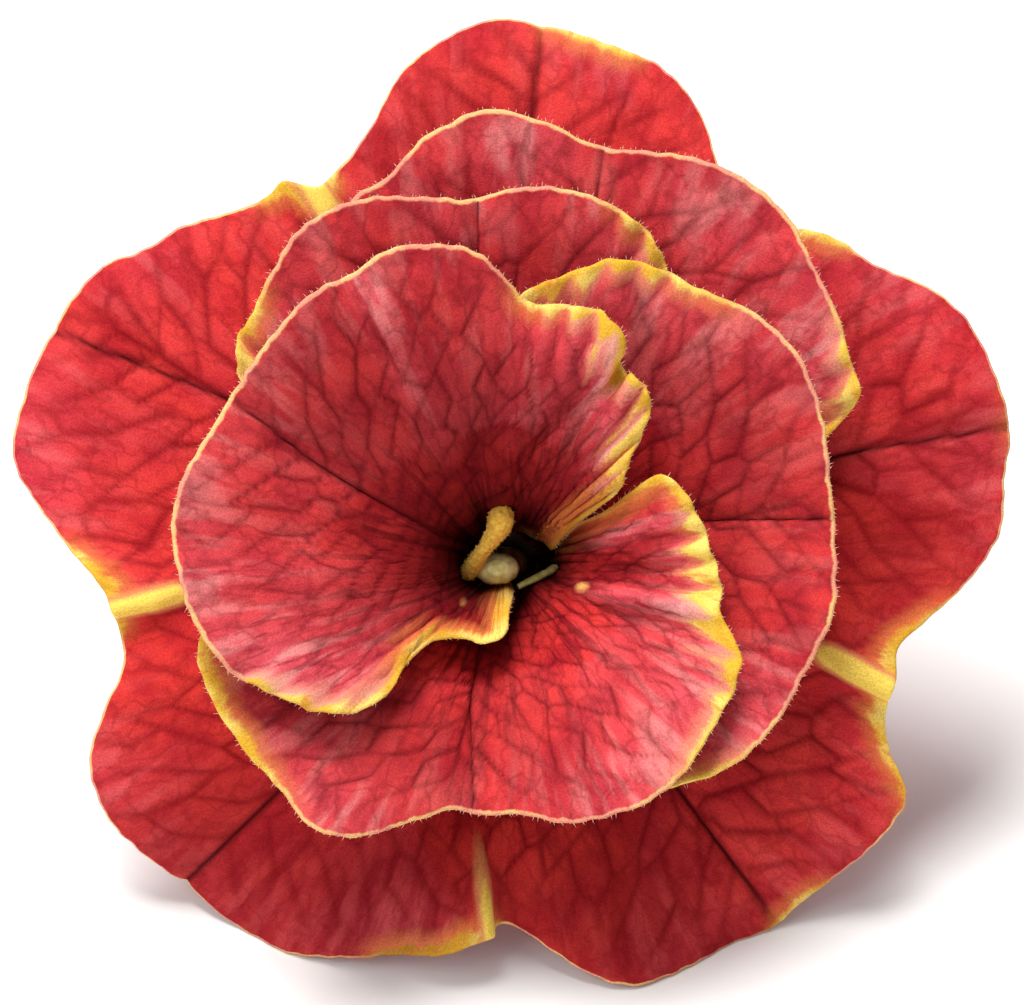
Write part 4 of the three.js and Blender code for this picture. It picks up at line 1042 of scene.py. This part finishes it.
def velvety_petal(name, pigment, vein_strength, net_strength, throat_from, rim_width):
    """A petal finish from a dict of hex pigments."""
    material, tree, output = new_material(name)
    field = {}
    for key in PETAL_FIELDS:
        field[key] = add(tree, "ShaderNodeAttribute", attribute_name=key).outputs["Fac"]
    place = add(tree, "ShaderNodeAttribute", attribute_name="place").outputs["Vector"]
    flow = add(tree, "ShaderNodeAttribute", attribute_name="flow").outputs["Vector"]
    paint = {key: linear(value) for key, value in {**SKIN, **pigment}.items()}

    def noise(where, scale, detail, out="Fac"):
        node = add(tree, "ShaderNodeTexNoise", {"Vector": where, "Scale": scale, "Detail": detail})
        return node.outputs[out]

    def ramp(value, low, high, to_low=0.0, to_high=1.0):
        node = add(tree, "ShaderNodeMapRange", {
            "Value": value, "From Min": low, "From Max": high, "To Min": to_low, "To Max": to_high,
        }, interpolation_type="SMOOTHSTEP")
        return node.outputs[0]

    def maths(operation, a, b):
        return add(tree, "ShaderNodeMath", {0: a, 1: b}, operation=operation).outputs[0]

    def over(under, top, amount):
        mix = add(tree, "ShaderNodeMix", {0: amount, 6: under, 7: top}, data_type="RGBA")
        return mix.outputs[2]

    # Pigment clouds about 2 mm across, streaks 0.6 mm wide that follow the veins, skin cells of 0.07 mm.
    clouds = noise(place, 0.5, 4.0)
    streaks = noise(flow, 1.6, 3.0)
    fine_streaks = noise(flow, 4.5, 2.0)
    cell = noise(place, 14.0, 2.0)
    # The finest veins: edges of long cells, bent a little so that no two are alike.
    bend = noise(place, 1.3, 1.0, "Color")
    bent = add(tree, "ShaderNodeVectorMath", {0: bend, 1: (0.9, 0.9, 0.9)}, operation="MULTIPLY").outputs[0]
    longer = add(tree, "ShaderNodeVectorMath", {0: flow, 1: (1.0, 1.0, 2.4), 2: bent},
                 operation="MULTIPLY_ADD").outputs[0]
    net = add(tree, "ShaderNodeTexVoronoi", {"Vector": longer, "Scale": FINE_NET},
              feature="DISTANCE_TO_EDGE").outputs["Distance"]

    # Body colour, dense in places with pigment and with painted shade.
    edge = field["from_edge"]
    blush = field["blush"]
    body = over(paint["deep"], paint["bright"], ramp(clouds, 0.34, 0.62))
    body = over(body, paint["dense_pigment_and_painted_shade"], maths("MULTIPLY", field["deep"], ramp(streaks, 0.3, 0.7, 1.0, 0.7)))
    # Blush and pale streaks towards the edge. On the inner petals the blush field also carries painted
    # light from the flush patches and painted highlight on the ridges of folds.
    near_edge = maths("MAXIMUM", ramp(edge, 5.0, 0.4), 0.55)
    flushed = maths("MULTIPLY", maths("MULTIPLY", near_edge, blush), ramp(clouds, 0.3, 0.65, 0.6, 0.95))
    colour = over(body, paint["blush"], flushed)
    pale_streak = maths("MULTIPLY", maths("MULTIPLY", ramp(edge, 3.8, 0.5, 0.25, 1.0), blush),
                        ramp(streaks, 0.45, 0.64))
    colour = over(colour, paint["pale"], maths("MULTIPLY", pale_streak, 0.68))
    # Dark streaks out of the throat, the finest net, fine lines on the blush, then the veins.
    dark_streak = maths("MULTIPLY", ramp(streaks, 0.5, 0.64, 0.0, 0.7),
                        ramp(field["reach"], throat_from * 1.9, throat_from * 0.9))
    colour = over(colour, paint["vein"], dark_streak)
    colour = over(colour, paint["vein"], ramp(net, 0.12, 0.0, 0.0, net_strength))
    fine_line = maths("MULTIPLY", ramp(fine_streaks, 0.56, 0.68, 0.0, 0.45), blush)
    colour = over(colour, paint["vein"], fine_line)
    vein_amount = maths("MULTIPLY", field["vein"], ramp(edge, 0.2, 2.5, 0.4 * vein_strength, vein_strength))
    vein_amount = maths("MULTIPLY", vein_amount, ramp(blush, 0.3, 1.0, 1.0, 0.6))
    colour = over(colour, paint["vein"], vein_amount)
    colour = over(colour, paint["midrib"], maths("MULTIPLY", field["crease"], 0.85))
    # Painted shade: deeper into the tube the skin turns near-black, in streaks.
    depth = ramp(field["reach"], throat_from, throat_from * 0.35)
    colour = over(colour, paint["throat"], maths("MULTIPLY", depth, ramp(streaks, 0.35, 0.62, 0.7, 1.0)))
    # The thin pale rim.
    rim_colour = over(paint["rim"], paint["rim_light"], ramp(clouds, 0.42, 0.56))
    rim_reach = maths("SUBTRACT", edge, maths("MULTIPLY", fine_streaks, 1.2 * rim_width))
    colour = over(colour, rim_colour, ramp(rim_reach, 0.2 * rim_width, -0.45 * rim_width, 0.0, 0.85))
    # The yellow margin, with a ragged inner border that fades through amber or cream.
    raggedness = maths("ADD", ramp(streaks, 0.34, 0.66, 0.45, 0.85),
                       ramp(fine_streaks, 0.35, 0.65, 0.25, 0.6))
    inside = maths("SUBTRACT", maths("MULTIPLY", field["yellow"], raggedness), edge)
    has_yellow = ramp(field["yellow"], 0.09, 0.25)
    border = over(paint["amber"], paint["cream_pink"], ramp(blush, 0.3, 0.9))
    border_amount = maths("MULTIPLY", has_yellow, ramp(inside, -0.75, 0.08, 0.0, 0.75))
    colour = over(colour, border, border_amount)
    gold = over(paint["gold"], paint["gold_light"], ramp(clouds, 0.4, 0.6))
    gold = over(gold, paint["gold_streak"], ramp(fine_streaks, 0.56, 0.7, 0.0, 0.6))
    # Painted shade on the yellow margin, wherever the deep field darkens the skin.
    gold = over(gold, paint["gold_in_painted_shade"], maths("MULTIPLY", field["deep"], 0.8))
    colour = over(colour, gold, maths("MULTIPLY", has_yellow, ramp(inside, -0.08, 0.3)))
    # Pleats and flecks.
    colour = over(colour, paint["pleat_side"], ramp(field["pleat"], 0.1, 0.45, 0.0, 0.8))
    colour = over(colour, paint["pleat"], ramp(field["pleat"], 0.4, 0.75))
    # The duller underside, yellowish along the tube, and the hairs.
    under = over(paint["under"], paint["under_vein"], field["vein"])
    under = over(under, paint["under_tube"], ramp(field["reach"], 8.0, 3.0))
    colour = over(colour, under, field["underside"])
    colour = over(colour, paint["hair"], field["hair"])

    # Each cell of the skin is a shade lighter or darker than its neighbours, and stands up a little.
    speckle = ramp(cell, 0.3, 0.7, 0.84, 1.16)
    shaded = add(tree, "ShaderNodeVectorMath", {0: colour, "Scale": speckle}, operation="SCALE")
    fine = add(tree, "ShaderNodeBump", {"Height": cell, "Strength": 0.5, "Distance": 0.00004})
    skin = add(tree, "ShaderNodeBsdfPrincipled", {
        "Base Color": shaded.outputs[0], "Roughness": ramp(cell, 0.3, 0.7, 0.5, 0.68), "IOR": 1.42,
        "Specular IOR Level": 0.04, "Sheen Weight": 0.01, "Sheen Roughness": 0.4,
        "Sheen Tint": linear("#ff8078"), "Normal": fine.outputs[0]})
    tree.links.new(skin.outputs[0], output.inputs[0])
    return material


# Scarlet pigment, soft veins: the funnel reads as bright red velvet with dark netting.
scarlet = velvety_petal(
    "velvety_scarlet_petal",
    {"bright": "#d8382f", "deep": "#b72427", "dense_pigment_and_painted_shade": "#68080d", "vein": "#7c0d15", "blush": "#cb4356",
     "pale": "#dd7070"}, 0.94, 0.3, 8.0, 0.06)
# Crimson pigment: the nest of inner petals reads cooler, with pale pink streaks at its edges.
crimson = velvety_petal(
    "velvety_crimson_petal",
    {"bright": "#cd322f", "deep": "#a61e26", "dense_pigment_and_painted_shade": "#5a090f", "vein": "#5a070f", "blush": "#e05a66",
     "pale": "#f2a8a2"}, 0.84, 0.28, 4.6, 0.17)
outer_corolla.data.materials.append(scarlet)
for petal in inner_petals:
    petal.data.materials.append(crimson)
print("petal finishes:", scarlet.name, crimson.name)

# %% [markdown]
# ### Organs and greens
#
# The stigma is wet, so it is smooth and shows a small highlight. The anther's papillae make it matte and
# woolly. Sepals and stalk are leaf tissue: matte green with darker specks and downy hairs.

# %% The plain plant finishes
def plant_tissue(name, colour, dark, hairs, roughness, gloss, specks_per_mm, speck_depth, painted_shade_from=2.0):
    """A speckled tissue. Past a given share of its length (the last argument) a stem is painted near-black
    brown: painted shade deep in the tube.
    """
    material, tree, output = new_material(name)
    field = {}
    for key in ("place", "hair", "share"):
        field[key] = add(tree, "ShaderNodeAttribute", attribute_name=key)
    specks = add(tree, "ShaderNodeTexNoise", {
        "Vector": field["place"].outputs["Vector"], "Scale": specks_per_mm, "Detail": 3.0})
    body = add(tree, "ShaderNodeMapRange", {
        "Value": specks.outputs["Fac"], "From Min": 0.35, "From Max": 0.65})
    in_painted_shade = add(tree, "ShaderNodeMath", {0: field["share"].outputs["Fac"], 1: painted_shade_from},
               operation="GREATER_THAN")
    coat = linear(dark)
    # Last comes the near-black brown #170d07: painted shade at the bottom of the tube.
    for amount, top in [(body.outputs[0], colour), (field["hair"].outputs["Fac"], hairs),
                        (in_painted_shade.outputs[0], "#170d07")]:
        coat = add(tree, "ShaderNodeMix", {0: amount, 6: coat, 7: linear(top)}, data_type="RGBA").outputs[2]
    bump = add(tree, "ShaderNodeBump", {
        "Height": specks.outputs["Fac"], "Strength": 0.6, "Distance": speck_depth})
    shader = add(tree, "ShaderNodeBsdfPrincipled", {
        "Base Color": coat, "Roughness": roughness, "IOR": 1.42, "Specular IOR Level": gloss,
        "Normal": bump.outputs[0]})
    tree.links.new(shader.outputs[0], output.inputs[0])
    return material


# Colour, dark specks, hairs, roughness, gloss, specks per mm, depth of a speck in metres, share where the
# painted shade starts.
PLANT_FINISHES = {
    # A wet sticky knob: smooth enough for a soft highlight.
    "moist_stigma": ("#fdf6b4", "#cfc772", "#e0d88c", 0.3, 0.5, 2.5, 0.00003),
    # Loose orange papillae: fully matte.
    "papillate_anther": ("#ffd257", "#e6a63a", "#fddc80", 0.75, 0.2, 6.0, 0.00005),
    # Smooth thin skin: a satin pale green, painted near-black as shade where it runs down into the tube.
    "satin_filament": ("#e2d988", "#aeab56", "#d8cf86", 0.4, 0.3, 3.0, 0.00002, 0.22),
    # Down and dull wax: leaf green with no shine.
    "downy_leaf_green": ("#7d9a45", "#557530", "#dfe3bd", 0.65, 0.25, 3.5, 0.00004),
    # The stalk's end at the bottom of the tube is painted near-black as shade.
    "downy_green_stalk": ("#86a04a", "#5d7a34", "#dfe3bd", 0.65, 0.02, 3.5, 0.00004, 0.93),
}
finishes = {name: plant_tissue(name, *values) for name, values in PLANT_FINISHES.items()}
for piece, finish in [(pistil, "moist_stigma"), (anther, "papillate_anther"), (filament, "satin_filament"),
                      (stalk, "downy_green_stalk"), *[(s, "downy_leaf_green") for s in sepals]]:
    piece.data.materials.append(finishes[finish])
print("plant finishes:", sorted(finishes))

# %% [markdown]
# ## Ride on the frame
#
# Nothing in a flower is jointed, so every piece rides on the one body.

# %% Fasten the pieces to the frame
made_pieces = [outer_corolla, *inner_petals, pistil, anther, filament, *sepals, stalk]
for piece in made_pieces:
    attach(piece, "root")
print(len(made_pieces), "pieces ride on root")

# %% [markdown]
# ## The table, the light and the camera
#
# A pale matte floor, a broad soft light from above that lets each layer shade the one under it, a weaker
# one from the side of the camera, and an even sky. The camera looks straight into the flower's face.

# %% Stage
FLOOR_HALF = 1.5  # metres
floor_mesh = bpy.data.meshes.new("floor")
floor_mesh.from_pydata([(-FLOOR_HALF, -FLOOR_HALF, 0), (FLOOR_HALF, -FLOOR_HALF, 0),
                        (FLOOR_HALF, FLOOR_HALF, 0), (-FLOOR_HALF, FLOOR_HALF, 0)], [], [(0, 1, 2, 3)])
floor = bpy.data.objects.new("floor", floor_mesh)
bpy.context.scene.collection.objects.link(floor)
paper, tree, output = new_material("matte_white_paper")
sheet_shader = add(tree, "ShaderNodeBsdfPrincipled", {"Base Color": linear("#f4f3f1"), "Roughness": 0.9})
tree.links.new(sheet_shader.outputs[0], output.inputs[0])
floor_mesh.materials.append(paper)


def area_light(name, place, aim, size, watts):
    """A square soft light at a place in metres, aimed at a point."""
    data = bpy.data.lights.new(name, "AREA")
    data.shape, data.size, data.energy = "SQUARE", size, watts
    lamp = bpy.data.objects.new(name, data)
    bpy.context.scene.collection.objects.link(lamp)
    look = (Vector(aim) - Vector(place)).to_track_quat("-Z", "Y")
    lamp.matrix_world = Matrix.Translation(place) @ look.to_matrix().to_4x4()
    return lamp


middle = (0, 0, 0.013)
area_light("key_from_above", (-0.09, 0.07, 0.6), middle, 0.3, 4.6)
area_light("fill_from_the_left", (-0.36, -0.25, 0.36), middle, 0.4, 1.2)
world = bpy.data.worlds.new("even_sky")
world.use_nodes = True
world.node_tree.nodes["Background"].inputs["Color"].default_value = (1, 1, 1, 1)
world.node_tree.nodes["Background"].inputs["Strength"].default_value = 0.36
bpy.context.scene.world = world
bpy.context.scene.view_settings.view_transform = "Standard"

# %% [markdown]
# The camera stands on the line through the middle of the face, far away behind a long lens, so that near
# and far petals keep their sizes. It is upright with the flower, not with the table.

# %% Camera
FIELD_WIDTH = 39.19  # mm across the picture at the throat
CAMERA_DISTANCE = 420  # mm
AIM = (0.27, 2.39)  # mm right of and above the throat

lens = bpy.data.cameras.new("camera")
lens.sensor_width = 36
lens.lens = 36 * CAMERA_DISTANCE / FIELD_WIDTH
lens.clip_start, lens.clip_end = 0.01, 10
camera = bpy.data.objects.new("camera", lens)
bpy.context.scene.collection.objects.link(camera)
camera.matrix_world = Matrix.Translation(Vector(lay_down([[*AIM, CAMERA_DISTANCE]])[0])) @ turn
bpy.context.scene.camera = camera
print("camera at", [round(c, 3) for c in camera.matrix_world.translation], "lens", round(lens.lens))
